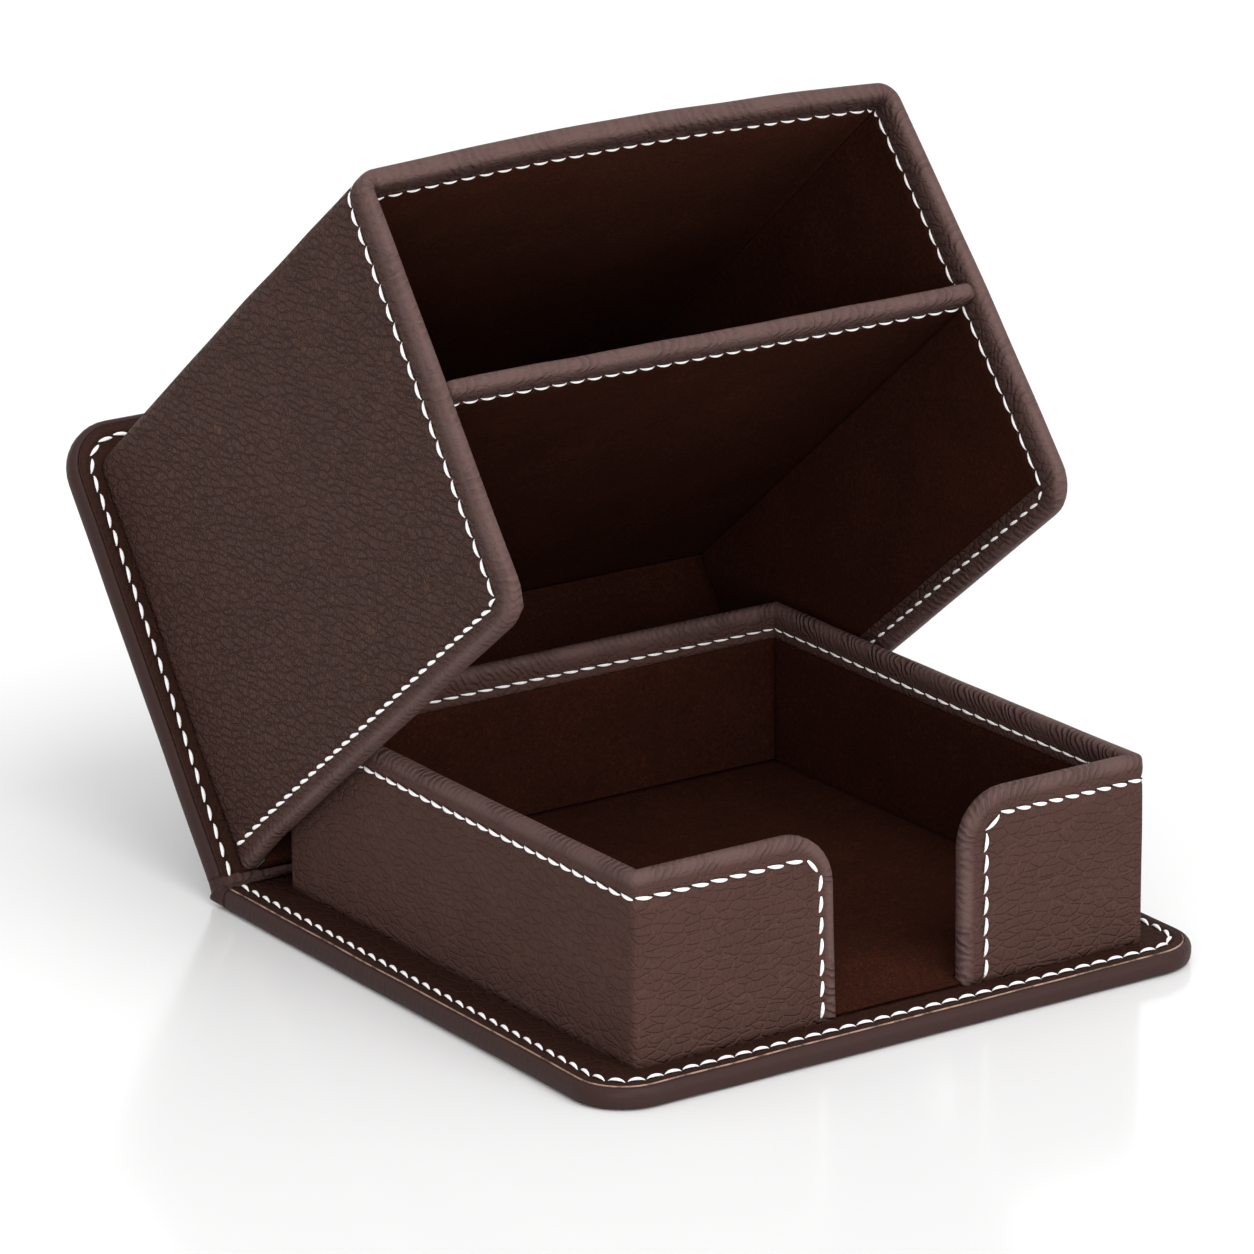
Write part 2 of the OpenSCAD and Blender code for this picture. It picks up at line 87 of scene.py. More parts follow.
@dataclass(frozen=True)
class FoldedPath:
    """An open line of straight runs and round corners whose inner side is on its left."""

    corners: tuple[tuple[float, float], ...]
    radius: float

    def _legs(self) -> tuple[np.ndarray, np.ndarray, np.ndarray, np.ndarray]:
        """Returns the corners, leg directions, leg normals and corner mitre vectors."""
        points = np.array(self.corners, float)
        runs = np.diff(points, axis=0)
        runs /= np.linalg.norm(runs, axis=1)[:, None]
        normals = np.stack([-runs[:, 1], runs[:, 0]], axis=1)
        mitres = [normals[0]]
        for before, after in zip(normals[:-1], normals[1:]):
            mitres.append((before + after) / (1 + before @ after))
        mitres.append(normals[-1])
        return points, runs, normals, np.array(mitres)

    def _turns(self) -> np.ndarray:
        """Returns the turning angle at each inner corner."""
        _, runs, _, _ = self._legs()
        return np.arccos(np.clip((runs[:-1] * runs[1:]).sum(1), -1, 1))

    def spans(self) -> list[tuple[str, int, float, float]]:
        """Returns kind, index, first and last distance of each run and bend."""
        points, _, _, _ = self._legs()
        turns = self._turns()
        lengths = np.linalg.norm(np.diff(points, axis=0), axis=1)
        trims = self.radius * np.tan(turns / 2)
        made, at = [], 0.0
        for i, length in enumerate(lengths):
            run = length - (trims[i - 1] if i else 0) - (trims[i] if i < len(turns) else 0)
            made.append(("run", i, at, at + run))
            at += run
            if i < len(turns):
                made.append(("bend", i, at, at + self.radius * turns[i]))
                at += self.radius * turns[i]
        return made

    def length(self) -> float:
        """Returns the length of the outer line."""
        return self.spans()[-1][3]

    def bends(self) -> list[tuple[float, float]]:
        """Returns the first and last distance of each bend."""
        return [(first, last) for kind, _, first, last in self.spans() if kind == "bend"]

    def middles(self) -> list[float]:
        """Returns the distance of each bend's middle."""
        return [(first + last) / 2 for first, last in self.bends()]

    def folds(self, steps: int) -> tuple[float, ...]:
        """Returns the distances that share each bend into steps."""
        return tuple(first + (last - first) * n / steps
                     for first, last in self.bends() for n in range(steps + 1))

    def at(self, s: np.ndarray, depth: np.ndarray) -> np.ndarray:
        """Places points on the line.

        Args:
            s: distances along the outer line.
            depth: distances in from it.

        Returns:
            The points in the line's plane.
        """
        points, runs, normals, mitres = self._legs()
        turns = self._turns()
        made = np.zeros((len(s), 2))
        spans = self.spans()
        for n, (kind, i, first, last) in enumerate(spans):
            low = -1e9 if n == 0 else first
            high = 1e9 if n == len(spans) - 1 else last
            mask = (s >= low) & (s <= high)
            if not mask.any():
                continue
            share = ((s[mask] - first) / (last - first))[:, None]
            d = depth[mask][:, None]
            bend = np.maximum(self.radius - d, LEAST_BEND)
            if kind == "run":
                start, end = points[i] + d * mitres[i], points[i + 1] + d * mitres[i + 1]
                if i > 0:
                    start = start + runs[i] * bend * math.tan(turns[i - 1] / 2)
                if i < len(turns):
                    end = end - runs[i] * bend * math.tan(turns[i] / 2)
                made[mask] = start + share * (end - start)
            else:
                centre = points[i + 1] + (d + bend) * mitres[i + 1]
                angle = share * turns[i]
                out = -normals[i] * np.cos(angle) + runs[i] * np.sin(angle)
                made[mask] = centre + bend * out
        return made


class Surface:
    """Where a flat cut sheet lies once folded."""

    def place(self, s: np.ndarray, v: np.ndarray, h: np.ndarray) -> np.ndarray:
        """Places points of a cut sheet.

        Args:
            s: distances along the sheet.
            v: distances up from its root.
            h: distances in from its outer face.

        Returns:
            The world points, in millimetres.
        """
        raise NotImplementedError

    def spot(self, s: float, v: float, h: float) -> np.ndarray:
        """Returns one world point."""
        return self.place(np.array([s]), np.array([v]), np.array([h]))[0]


def lid_to_world(x: np.ndarray, y: np.ndarray, z: np.ndarray) -> np.ndarray:
    """Turns points of the lid's own frame, whose origin is on the hinge axis, into world points."""
    c, s = math.cos(LID_TILT), math.sin(LID_TILT)
    return np.stack([x, HINGE_Y + c * y + s * z, HINGE_Z - s * y + c * z], axis=1)


@dataclass(frozen=True)
class PlateSurface(Surface):
    """A flat covered board, its root at the hinge and its outer face on the desk or behind.

    The boards lie a third of a millimetre left of the middle, as in the photograph.
    """

    width: float
    on_lid: bool
    root: float
    outer: float
    shift: float = -0.35

    def place(self, s: np.ndarray, v: np.ndarray, h: np.ndarray) -> np.ndarray:
        """Places points of a cut sheet.

        Args:
            s, v, h: as Surface.place says.

        Returns:
            The world points, in millimetres.
        """
        x = s - self.width / 2 + self.shift
        if self.on_lid:
            return lid_to_world(x, self.outer - h, self.root + v)
        return np.stack([x, self.root - v, h + self.outer], axis=1)


@dataclass(frozen=True)
class TraySurface(Surface):
    """The memo tray's wall: one strip folded round in plan, standing on the lower board.

    Its sides' rims sag by hollow, and the strip's last few millimetres, at the notch's left
    side, lean out by flare, less at the rim than at the foot.
    """

    path: FoldedPath
    foot: float
    tall: float
    hollow: float = 0.45
    flare: tuple[float, float] = (0.2, 0.8)
    flare_reach: float = 12.0

    def place(self, s: np.ndarray, v: np.ndarray, h: np.ndarray) -> np.ndarray:
        """Places points of a cut sheet.

        Args:
            s, v, h: as Surface.place says.

        Returns:
            The world points, in millimetres.
        """
        plan = self.path.at(s, h)
        near = np.clip(1 - (self.path.length() - s) / self.flare_reach, 0, 1)
        near = near ** 2 * (3 - 2 * near)
        plan[:, 0] += near * (self.flare[0] + self.flare[1] * (1 - v / self.tall))
        reach = np.abs(self.path.corners[2][1])
        sag = self.hollow * np.clip(1 - (plan[:, 1] / reach) ** 2, 0, 1)
        side = np.clip(np.abs(plan[:, 0]) / self.path.corners[1][0] * 8 - 7, 0, 1)
        return np.column_stack([plan, self.foot + v - sag * side * (v / self.tall) ** 2])


@dataclass(frozen=True)
class BoxSurface(Surface):
    """The lift box's wall: right side, top and left side in one strip, from the lid to the mouth.

    Its small unevenness follows the photograph. A pair is for the left and the right side.

    Fields:
        narrowing: how far each side leans in at the mouth's top.
        bow: rise of the mouth's top edge in its middle.
        sag: drop of the mouth's top edge.
        lean: rise of its right end, and drop of its left end.
        skew: rise of each side's lower edge towards the mouth.
        tuck: rise of each side's lower edge beside the lid.
        top_rim: drop of the top rim's inner side at each end.
        bulge: how far the right side swells out.
    """

    path: FoldedPath
    tall: float
    depth: float
    corners: tuple[tuple[float, float], ...]
    narrowing: tuple[float, float]
    bow: float
    sag: float
    lean: float
    skew: tuple[float, float]
    tuck: tuple[float, float]
    top_rim: tuple[float, float]
    wall: float
    bulge: float = 0.6
    tuck_reach: float = 0.12

    def height(self, t: np.ndarray) -> np.ndarray:
        """Measures the sides' height.

        Args:
            t: share of the depth, 0 at the lid and 1 at the mouth.

        Returns:
            The height in millimetres.
        """
        low_back, low_front, high_front, high_back = (np.array(c) for c in self.corners)
        back, front = math.dist(low_back, high_back), math.dist(low_front, high_front)
        return back + t * (front - back)

    def seat(self, x: np.ndarray, q: np.ndarray, t: np.ndarray) -> np.ndarray:
        """Places points of the box.

        Args:
            x: distance from the middle, before the narrowing.
            q: share of the height, 0 at the sides' lower edge.
            t: share of the depth, 0 at the lid and 1 at the mouth.

        Returns:
            The world points, in millimetres.
        """
        low_back, low_front, high_front, high_back = (np.array(c) for c in self.corners)
        t, q = t[:, None], q[:, None]
        low = low_back + t * (low_front - low_back)
        high = high_back + t * (high_front - high_back)
        side = low + q * (high - low)
        t, q = t[:, 0], q[:, 0]
        q, out = np.clip(q, 0, 1), np.clip(t, 0, 1) ** 2
        u = x / self.path.corners[0][0]
        inward = np.where(u > 0, self.narrowing[1], self.narrowing[0])
        bulge = np.where(u > 0, self.bulge, 0.0) * 4 * q * (1 - q)
        lift = out * q ** 4 * (self.bow * (1 - u ** 2) - self.sag + self.lean * u)
        lift += out ** 0.5 * (1 - q) ** 2 * np.where(u > 0, self.skew[1], self.skew[0]) * u ** 2
        tuck = np.where(u > 0, self.tuck[1], self.tuck[0]) * np.abs(u) ** 8
        lift += tuck * (1 - q) ** 24 * np.clip(t / self.tuck_reach, 0.2, 1)
        x = x - u * out * (inward * q - bulge)
        return lid_to_world(x, side[:, 0], side[:, 1] + lift)

    def place(self, s: np.ndarray, v: np.ndarray, h: np.ndarray) -> np.ndarray:
        """Places points of a cut sheet.

        Args:
            s, v, h: as Surface.place says.

        Returns:
            The world points, in millimetres.
        """
        flat = self.path.at(s, h)
        u, t = flat[:, 0] / self.path.corners[0][0], v / self.depth
        high = np.clip((flat[:, 1] - self.tall + 6) / 3, 0, 1)
        left, right = self.top_rim
        drop = high * (h / self.wall) * t ** 2 * (right + (left - right) * (1 - u) / 2)
        return self.seat(flat[:, 0], (flat[:, 1] - drop) / self.tall, t)


@dataclass(frozen=True)
class DividerSurface(Surface):
    """The box's middle shelf, measured across the box, up to the mouth and down from its top."""

    box: BoxSurface
    width: float
    depth: float
    root_height: float
    mouth_height: float

    def place(self, s: np.ndarray, v: np.ndarray, h: np.ndarray) -> np.ndarray:
        """Places points of the shelf.

        Args:
            s, v, h: as Surface.place says.

        Returns:
            The world points, in millimetres.
        """
        t = v / self.depth
        rise = self.root_height + t * (self.mouth_height - self.root_height) - h
        return self.box.seat(s - self.width / 2, rise / self.box.height(t), t)


@dataclass(frozen=True)
class Station:
    """One line of a wrapped edge: distance in from the edge, depth from outside, share of roll."""

    inset: float
    depth: float
    roll: float = 0.0

    def creased(self) -> float:
        """Returns 1 on the inner side of a rolled edge, where a corner's fold shows, or else 0."""
        return float(self.depth > 2.6 and 0.4 < self.inset < 5.5)


def rolled_edge(thickness: float, squareness: float = 0.82,
                steps: int = 10) -> list[tuple[float, float]]:
    """Rounds the edge of a wall of leather.

    Args:
        thickness: the wall's thickness.
        squareness: power of its sine and cosine, 1 for a half circle and less for a squarer one.
        steps: number of parts.

    Returns:
        Distance in from the edge and depth from outside of each line.
    """
    r, made = thickness / 2, []
    for n in range(steps + 1):
        a = math.pi * (n / steps - 0.5)
        bulge = abs(math.cos(a)) ** squareness
        level = math.copysign(abs(math.sin(a)) ** squareness, a)
        made.append((r * (1 - bulge), r * (1 + level)))
    return made


@dataclass(frozen=True)
class WallSection:
    """Section of a leather-wrapped wall: outer face, seam groove, rolled edge, turned-in band.

    The groove's valley is given as distances past the seam and shares of its depth.
    """

    thickness: float
    stitch: float
    turn_in: float
    groove: float = 0.3
    step: float = 0.5
    valley: tuple[tuple[float, float], ...] = (
        (2.4, 0.0), (1.3, 0.05), (0.75, 0.35), (0.35, 0.85), (0, 1), (-0.35, 0.85),
        (-0.75, 0.4), (-1.3, 0.0), (-2.0, -0.25))

    def stations(self) -> list[Station]:
        """Returns the section's lines from the outer face over the edge to under the lining."""
        t, r, g = self.thickness, self.thickness / 2, self.groove
        made = [Station(self.stitch + d, g * share, 0.35 if d < 0 else 0)
                for d, share in self.valley]
        made.append(Station(r + 0.7, -0.05, 0.8))
        made += [Station(inset, depth, 1.0) for inset, depth in rolled_edge(self.thickness)]
        made.append(Station(r + 0.7, t + 0.04, 0.8))
        back = [(d, share) for d, share in reversed(self.valley) if -1.9 < d <= 0]
        made += [Station(self.stitch + d, t - g * share, 0.4) for d, share in back]
        end = self.turn_in
        made.append(Station(self.stitch + 0.4, t - 0.85 * g, 0.3))
        if end - self.stitch > 1.6:
            made.append(Station(self.stitch + 0.8, t - 0.35 * g, 0.3))
            made.append(Station(self.stitch + 1.3, t, 0.3))
        made.append(Station(end - 0.12, t - 0.06, 0.3))
        made.append(Station(end, t - 0.2, 0.3))
        made.append(Station(end + 0.02, t - self.step, 0))
        made.append(Station(end + 1.5, t - self.step, 0))
        return made


@dataclass(frozen=True)
class Sheet:
    """A rectangular cut piece with two round corners at its free end.

    Fields:
        margin: distance from the edge inside which the points follow it.
        pace: distance between points.
        arc: number of points in each round corner.
        folds: distances along it that need a point, because it bends there.
    """

    width: float
    height: float
    corner: float
    margin: float
    pace: float = 1.5
    arc: int = 5
    folds: tuple[float, ...] = ()

    def _along(self) -> np.ndarray:
        """Returns the sample distances along the free end."""
        marks = np.linspace(0, self.width, max(3, round(self.width / self.pace) + 1))
        return np.unique(np.round(np.concatenate([marks, np.array(self.folds)]), 3))

    def _up(self) -> np.ndarray:
        """Returns the sample distances up the sides."""
        return np.linspace(0, self.height, max(3, round(self.height / self.pace) + 1))

    def ring(self, inset: float) -> np.ndarray:
        """Walks round the sheet, up one side and down the other.

        Args:
            inset: distance from the edge.

        Returns:
            The points of the open line.
        """
        w, v, m = self.width, self.height, self.margin
        bend = max(self.corner - inset, LEAST_BEND)
        a = inset + bend
        top = np.interp(self._along(), [0, m, w - m, w], [a, m, w - m, w - a])
        side = np.interp(self._up(), [0, v - m, v], [0, v - m, v - a])
        turn = np.linspace(0, math.pi / 2, self.arc + 2)[1:-1]
        left = np.column_stack([np.full(len(side), inset), side])
        first = np.column_stack([a - bend * np.cos(turn), v - a + bend * np.sin(turn)])
        end = np.column_stack([top, np.full(len(top), v - inset)])
        second = np.column_stack([w - a + bend * np.sin(turn), v - a + bend * np.cos(turn)])
        right = np.column_stack([np.full(len(side), w - inset), side[::-1]])
        return np.concatenate([left, first, end, second, right])

    def diagonals(self) -> np.ndarray:
        """Returns how near each point of a ring is to the middle of a corner, from 0 to 1."""
        window = np.clip(1 - np.abs(np.linspace(-1, 1, self.arc)) * 2.2, 0, 1)
        side, top = np.zeros(len(self._up())), np.zeros(len(self._along()))
        return np.concatenate([side, window, top, window, side])

    def columns(self) -> tuple[int, int]:
        """Returns the number of grid points up a side and along the free end."""
        return len(self._up()) + self.arc // 2 + 1, len(self._along()) + 2 * (self.arc // 2) + 2

    def grid(self, inset: float) -> np.ndarray:
        """Fills the sheet's inside.

        Args:
            inset: distance of its border from the edge.

        Returns:
            A grid of points whose border is the ring of that inset.
        """
        loop = self.ring(inset)
        rows, cols = self.columns()
        left, right = loop[:rows], loop[::-1][:rows]
        top = loop[rows - 1:rows - 1 + cols]
        w, m = self.width, self.margin
        x = np.interp(top[:, 0], [top[0, 0], m, w - m, top[-1, 0]], [inset, m, w - m, w - inset])
        bottom = np.column_stack([x, np.zeros(cols)])
        across = ((x - inset) / (w - 2 * inset))[None, :, None]
        up = (left[:, 1] / left[-1, 1])[:, None, None]
        flat = (1 - up) * bottom[None] + up * top[None]
        flat = flat + (1 - across) * left[:, None] + across * right[:, None]
        flat -= (1 - up) * ((1 - across) * bottom[0] + across * bottom[-1])
        flat -= up * ((1 - across) * top[0] + across * top[-1])
        return flat


@dataclass
class Draft:
    """A mesh under way: points with their sheet coordinates, and faces with material numbers."""

    points: list[np.ndarray] = field(default_factory=list)
    sheet: list[np.ndarray] = field(default_factory=list)
    roll: list[np.ndarray] = field(default_factory=list)
    faces: list[list[int]] = field(default_factory=list)
    kinds: list[int] = field(default_factory=list)
    count: int = 0

    def add_points(self, points: np.ndarray, sheet: np.ndarray, roll: np.ndarray) -> np.ndarray:
        """Adds points.

        Args:
            points: world points in millimetres.
            sheet: their coordinates on the cut sheet.
            roll: share of each that lies on a rolled edge.

        Returns:
            Their numbers.
        """
        self.points.append(points)
        self.sheet.append(sheet)
        self.roll.append(roll)
        numbers = np.arange(self.count, self.count + len(points))
        self.count += len(points)
        return numbers

    def add_grid(self, numbers: np.ndarray, kind: int = 0) -> None:
        """Adds the quads between the rows of an array.

        Args:
            numbers: two-dimensional array of point numbers.
            kind: the quads' material number.
        """
        quads = np.stack([numbers[:-1, :-1], numbers[:-1, 1:], numbers[1:, 1:], numbers[1:, :-1]],
                         axis=-1).reshape(-1, 4)
        self.faces += quads.tolist()
        self.kinds += [kind] * len(quads)

    def join_rims(self, front: np.ndarray, back: np.ndarray) -> None:
        """Adds the quads that close a sheet's edges.

        Args:
            front: two-dimensional array of the point numbers of its face.
            back: the same of its back.
        """
        for side in (0, -1):
            self.add_grid(np.stack([front[side], back[side]]))
        for side in (0, -1):
            self.add_grid(np.stack([front[:, side], back[:, side]]))

    def add_face(self, numbers: list[int], kind: int = 0) -> None:
        """Adds one face."""
        self.faces.append([int(n) for n in numbers])
        self.kinds.append(kind)

    def build(self, name: str, finishes: list[bpy.types.Material]) -> bpy.types.Object:
        """Makes the object.

        Args:
            name: the piece's name.
            finishes: its materials, in the order of the faces' numbers.

        Returns:
            The object, linked to the scene, with outward normals and smooth shading.
        """
        mesh = bpy.data.meshes.new(name)
        points = np.concatenate(self.points) * MM
        mesh.from_pydata(points.tolist(), [], self.faces)
        for finish in finishes:
            mesh.materials.append(finish)
        mesh.polygons.foreach_set("material_index", np.array(self.kinds, np.int32))
        mesh.polygons.foreach_set("use_smooth", np.ones(len(self.faces), bool))
        sheet = mesh.attributes.new("sheet", "FLOAT_VECTOR", "POINT")
        sheet.data.foreach_set("vector", np.concatenate(self.sheet).astype(np.float32).ravel())
        roll = mesh.attributes.new("roll", "FLOAT", "POINT")
        roll.data.foreach_set("value", np.concatenate(self.roll).astype(np.float32))
        shape = bmesh.new()
        shape.from_mesh(mesh)
        bmesh.ops.recalc_face_normals(shape, faces=shape.faces)
        shape.to_mesh(mesh)
        shape.free()
        mesh.validate()
        piece = bpy.data.objects.new(name, mesh)
        bpy.context.scene.collection.objects.link(piece)
        return piece


@dataclass(frozen=True)
class Ripple:
    """Slow unevenness of hand-laid leather: a sum of waves with fixed phases."""

    size: float
    wave: float
    seed: int
    waves: int = 7

    def __call__(self, s: np.ndarray, v: np.ndarray) -> np.ndarray:
        """Measures the unevenness.

        Args:
            s: distances along the sheet.
            v: distances up it.

        Returns:
            Its height at each point.
        """
        rng = np.random.default_rng(self.seed)
        total = np.zeros(len(s))
        for _ in range(self.waves):
            angle, phase = rng.uniform(0, 2 * math.pi, 2)
            k = 2 * math.pi / (self.wave * rng.uniform(0.6, 1.7))
            total += np.sin(k * (s * math.cos(angle) + v * math.sin(angle)) + phase)
        return self.size * total / 2.6


def wrap_panel(draft: Draft, sheet: Sheet, stations: list[Station], surface: Surface,
               ripple: Ripple, kinds: list[int] | None = None, crease: float = 0.0) -> None:
    """Lays a closed leather envelope over a surface.

    Args:
        draft: the mesh to add to.
        sheet: the cut piece.
        stations: lines of its section, from the outer face round the edge to the inner face.
        surface: where it lies.
        ripple: its unevenness.
        kinds: material number of the strip after each station, and of both faces at the ends.
        crease: depth of the fold across the inner side of both corners.
    """
    kinds = kinds or [0] * (len(stations) + 1)
    rim = sheet.ring(0)
    walk = np.concatenate([[0], np.cumsum(np.linalg.norm(np.diff(rim, axis=0), axis=1))])
    steps = [math.dist((a.inset, a.depth), (b.inset, b.depth))
             for a, b in zip(stations[:-1], stations[1:])]
    across = np.concatenate([[0], np.cumsum(steps)])
    loops = []
    for k, station in enumerate(stations):
        flat = sheet.ring(station.inset)
        depth = station.depth + ripple(flat[:, 0], flat[:, 1])
        depth = depth + crease * sheet.diagonals() * station.creased()
        coordinates = np.column_stack([walk, np.full(len(walk), across[k]),
                                       np.full(len(walk), station.depth)])
        points = surface.place(flat[:, 0], flat[:, 1], depth)
        loops.append(draft.add_points(points, coordinates, np.full(len(walk), station.roll)))
    for k in range(len(loops) - 1):
        draft.add_grid(np.stack([loops[k], loops[k + 1]]), kinds[k + 1])
    rows, cols = sheet.columns()
    feet = []
    for loop, station, kind in ((loops[0], stations[0], kinds[0]),
                                (loops[-1], stations[-1], kinds[-1])):
        flat = sheet.grid(station.inset)
        numbers = np.zeros((rows, cols), int)
        numbers[:, 0], numbers[:, -1] = loop[:rows], loop[::-1][:rows]
        numbers[-1] = loop[rows - 1:rows - 1 + cols]
        inside = flat[:-1, 1:-1].reshape(-1, 2)
        depth = station.depth + ripple(inside[:, 0], inside[:, 1])
        made = draft.add_points(
            surface.place(inside[:, 0], inside[:, 1], depth),
            np.column_stack([inside, np.full(len(inside), station.depth)]),
            np.zeros(len(inside)))
        numbers[:-1, 1:-1] = made.reshape(rows - 1, cols - 2)
        draft.add_grid(numbers, kind)
        feet.append(numbers[0])
    draft.add_grid(np.stack(feet), kinds[-1])
    draft.add_face([loop[0] for loop in loops], kinds[-1])
    draft.add_face([loop[-1] for loop in loops], kinds[-1])


def lay_lining(draft: Draft, surface: Surface, s_span: tuple[float, float],
               v_span: tuple[float, float], face: float, back: float, pace: float = 2.0,
               ripple: Ripple | None = None) -> None:
    """Lays a thin rectangular lining with softened edges on a surface.

    Args:
        draft: the mesh to add to.
        surface: where it lies.
        s_span: its first and last distance along.
        v_span: its first and last distance up.
        face: depth of its visible face.
        back: depth of its glued face.
        pace: distance between points.
        ripple: its unevenness.
    """
    soft = 0.25 * math.copysign(1, back - face)
    ease = 0.3

    def marks(low: float, high: float) -> np.ndarray:
        """Returns the sample distances of one direction, closer at both ends."""
        inner = np.linspace(low + ease, high - ease, max(2, round((high - low) / pace)))
        return np.concatenate([[low], inner, [high]])

    s, v = np.meshgrid(marks(*s_span), marks(*v_span))
    shape = s.shape
    border = np.ones(shape, bool)
    border[1:-1, 1:-1] = False
    s, v, border = s.ravel(), v.ravel(), border.ravel()
    lift = ripple(s, v) if ripple else np.zeros(len(s))
    sheet = np.column_stack([s, v, np.zeros(len(s))])
    front = draft.add_points(surface.place(s, v, np.where(border, face + soft, face + lift)),
                             sheet, np.zeros(len(s))).reshape(shape)
    rear = draft.add_points(surface.place(s, v, np.full(len(s), back)), sheet,
                            np.zeros(len(s))).reshape(shape)
    draft.add_grid(front)
    draft.add_grid(rear)
    draft.join_rims(front, rear)


@dataclass(frozen=True)
class Seam:
    """A running stitch along a line of sheet coordinates, seen from outside or from inside."""

    surface: Surface
    line: tuple[tuple[float, float], ...]
    depth: float = 0.0
    inside: bool = False


@dataclass(frozen=True)
class Needlework:
    """Size of one stitch.

    Fields:
        gap: bare leather between two stitches.
        dip: depth of the thread's ends in the groove.
        rise: height of its middle above the leather.
        slant: how far its ends lie off the seam's line, one to each side.
        wander: how far a stitch strays from the line.
        hole: half the length of a needle hole.
        rings, sides: number of points along and round the thread.
    """

    pitch: float = 4.0
    gap: float = 0.42
    width: float = 0.82
    height: float = 0.58
    dip: float = 0.3
    rise: float = 0.2
    slant: float = 0.5
    wander: float = 0.06
    hole: float = 0.42
    rings: int = 9
    sides: int = 8

    def sew(self, draft: Draft, seam: Seam) -> None:
        """Adds a seam's stitches, and a needle hole between each two, darkened with painted shade.

        Args:
            draft: the mesh to add to; material 0 is the thread and 1 the holes.
            seam: where the stitches run.
        """
        out = 0.6 if seam.inside else -0.6
        holes: list[tuple[np.ndarray, np.ndarray]] = []
        for leg, (start, end) in enumerate(zip(seam.line[:-1], seam.line[1:])):
            a, b = np.array(start, float), np.array(end, float)
            span = np.linalg.norm(
                seam.surface.spot(*b, seam.depth) - seam.surface.spot(*a, seam.depth))
            count = max(1, round(span / self.pitch))
            for n in range(count + 1):
                if n == 0 and leg:
                    continue
                at = a + (b - a) * n / count
                point = seam.surface.spot(*at, seam.depth)
                normal = seam.surface.spot(*at, seam.depth + out) - point
                holes.append((point, normal / np.linalg.norm(normal)))
        for n, (one, two) in enumerate(zip(holes[:-1], holes[1:])):
            self._stitch(draft, one, two, n)
        for n, (point, normal) in enumerate(holes):
            near = holes[n - 1][0] if n else holes[1][0]
            self._hole(draft, point, normal, point - near)

    def _stitch(self, draft: Draft, one: tuple[np.ndarray, np.ndarray],
                two: tuple[np.ndarray, np.ndarray], number: int) -> None:
        """Adds the thread between two holes.

        Args:
            draft: the mesh to add to.
            one: place and outward normal of the first hole.
            two: the same of the second.
            number: the stitch's number in its seam.
        """
        normal = one[1] + two[1]
        normal /= np.linalg.norm(normal)
        along = two[0] - one[0]
        length = np.linalg.norm(along)
        along /= length
        side = np.cross(normal, along)
        wander = self.wander * math.sin(12.9 * number)
        u = np.linspace(0, 1, self.rings)
        swell = np.sin(math.pi * u) ** 0.62
        swell[0] = swell[-1] = 0.22
        lift = -self.dip + (self.dip + self.rise) * np.sin(math.pi * u) ** 0.55
        reach = self.gap / 2 + u * (length - self.gap)
        centre = (one[0] + np.outer(reach, along) + np.outer(lift, normal)
                  + np.outer(self.slant * (0.5 - u) + wander, side))
        turn = np.linspace(0, 2 * math.pi, self.sides, endpoint=False)
        ring = (np.cos(turn)[None, :, None] * side * self.width / 2
                + np.sin(turn)[None, :, None] * normal * self.height / 2)
        points = (centre[:, None] + ring * swell[:, None, None]).reshape(-1, 3)
        sheet = np.column_stack([np.repeat(reach, self.sides), np.tile(turn, self.rings),
                                 np.zeros(self.rings * self.sides)])
        numbers = draft.add_points(points, sheet, np.zeros(len(points)))
        numbers = numbers.reshape(self.rings, self.sides)
        draft.add_grid(np.column_stack([numbers, numbers[:, :1]]))
        draft.add_face(list(numbers[0]))
        draft.add_face(list(numbers[-1][::-1]))

    def _hole(self, draft: Draft, point: np.ndarray, normal: np.ndarray,
              along: np.ndarray) -> None:
        """Adds a needle hole: a shallow lens in the groove, near black with painted shade.

        Args:
            draft: the mesh to add to.
            point: the hole's place.
            normal: its outward normal.
            along: the seam's direction.
        """
        along = along / np.linalg.norm(along)
        side = np.cross(normal, along)
        count = self.sides
        turn = np.linspace(0, 2 * math.pi, count, endpoint=False)
        edge = (point - 0.27 * normal + np.outer(np.cos(turn), along) * self.hole
                + np.outer(np.sin(turn), side) * self.hole * 0.62)
        tip = [point - 0.2 * normal, point - 0.5 * normal]
        points = np.concatenate([edge, tip])
        numbers = draft.add_points(points, np.zeros((count + 2, 3)), np.zeros(count + 2))
        for n in range(count):
            m = (n + 1) % count
            draft.add_face([numbers[n], numbers[m], numbers[count]], 1)
            draft.add_face([numbers[m], numbers[n], numbers[count + 1]], 1)


# Finishes: shared effects and the materials that use them


Colour = tuple[float, float, float]
Socket = bpy.types.NodeSocket
Input = float | tuple[float, ...] | bpy.types.NodeSocket


def opaque(colour: Colour, factor: float = 1.0) -> tuple[float, float, float, float]:
    """Returns a colour times a factor, with full alpha."""
    return (*(c * factor for c in colour), 1.0)


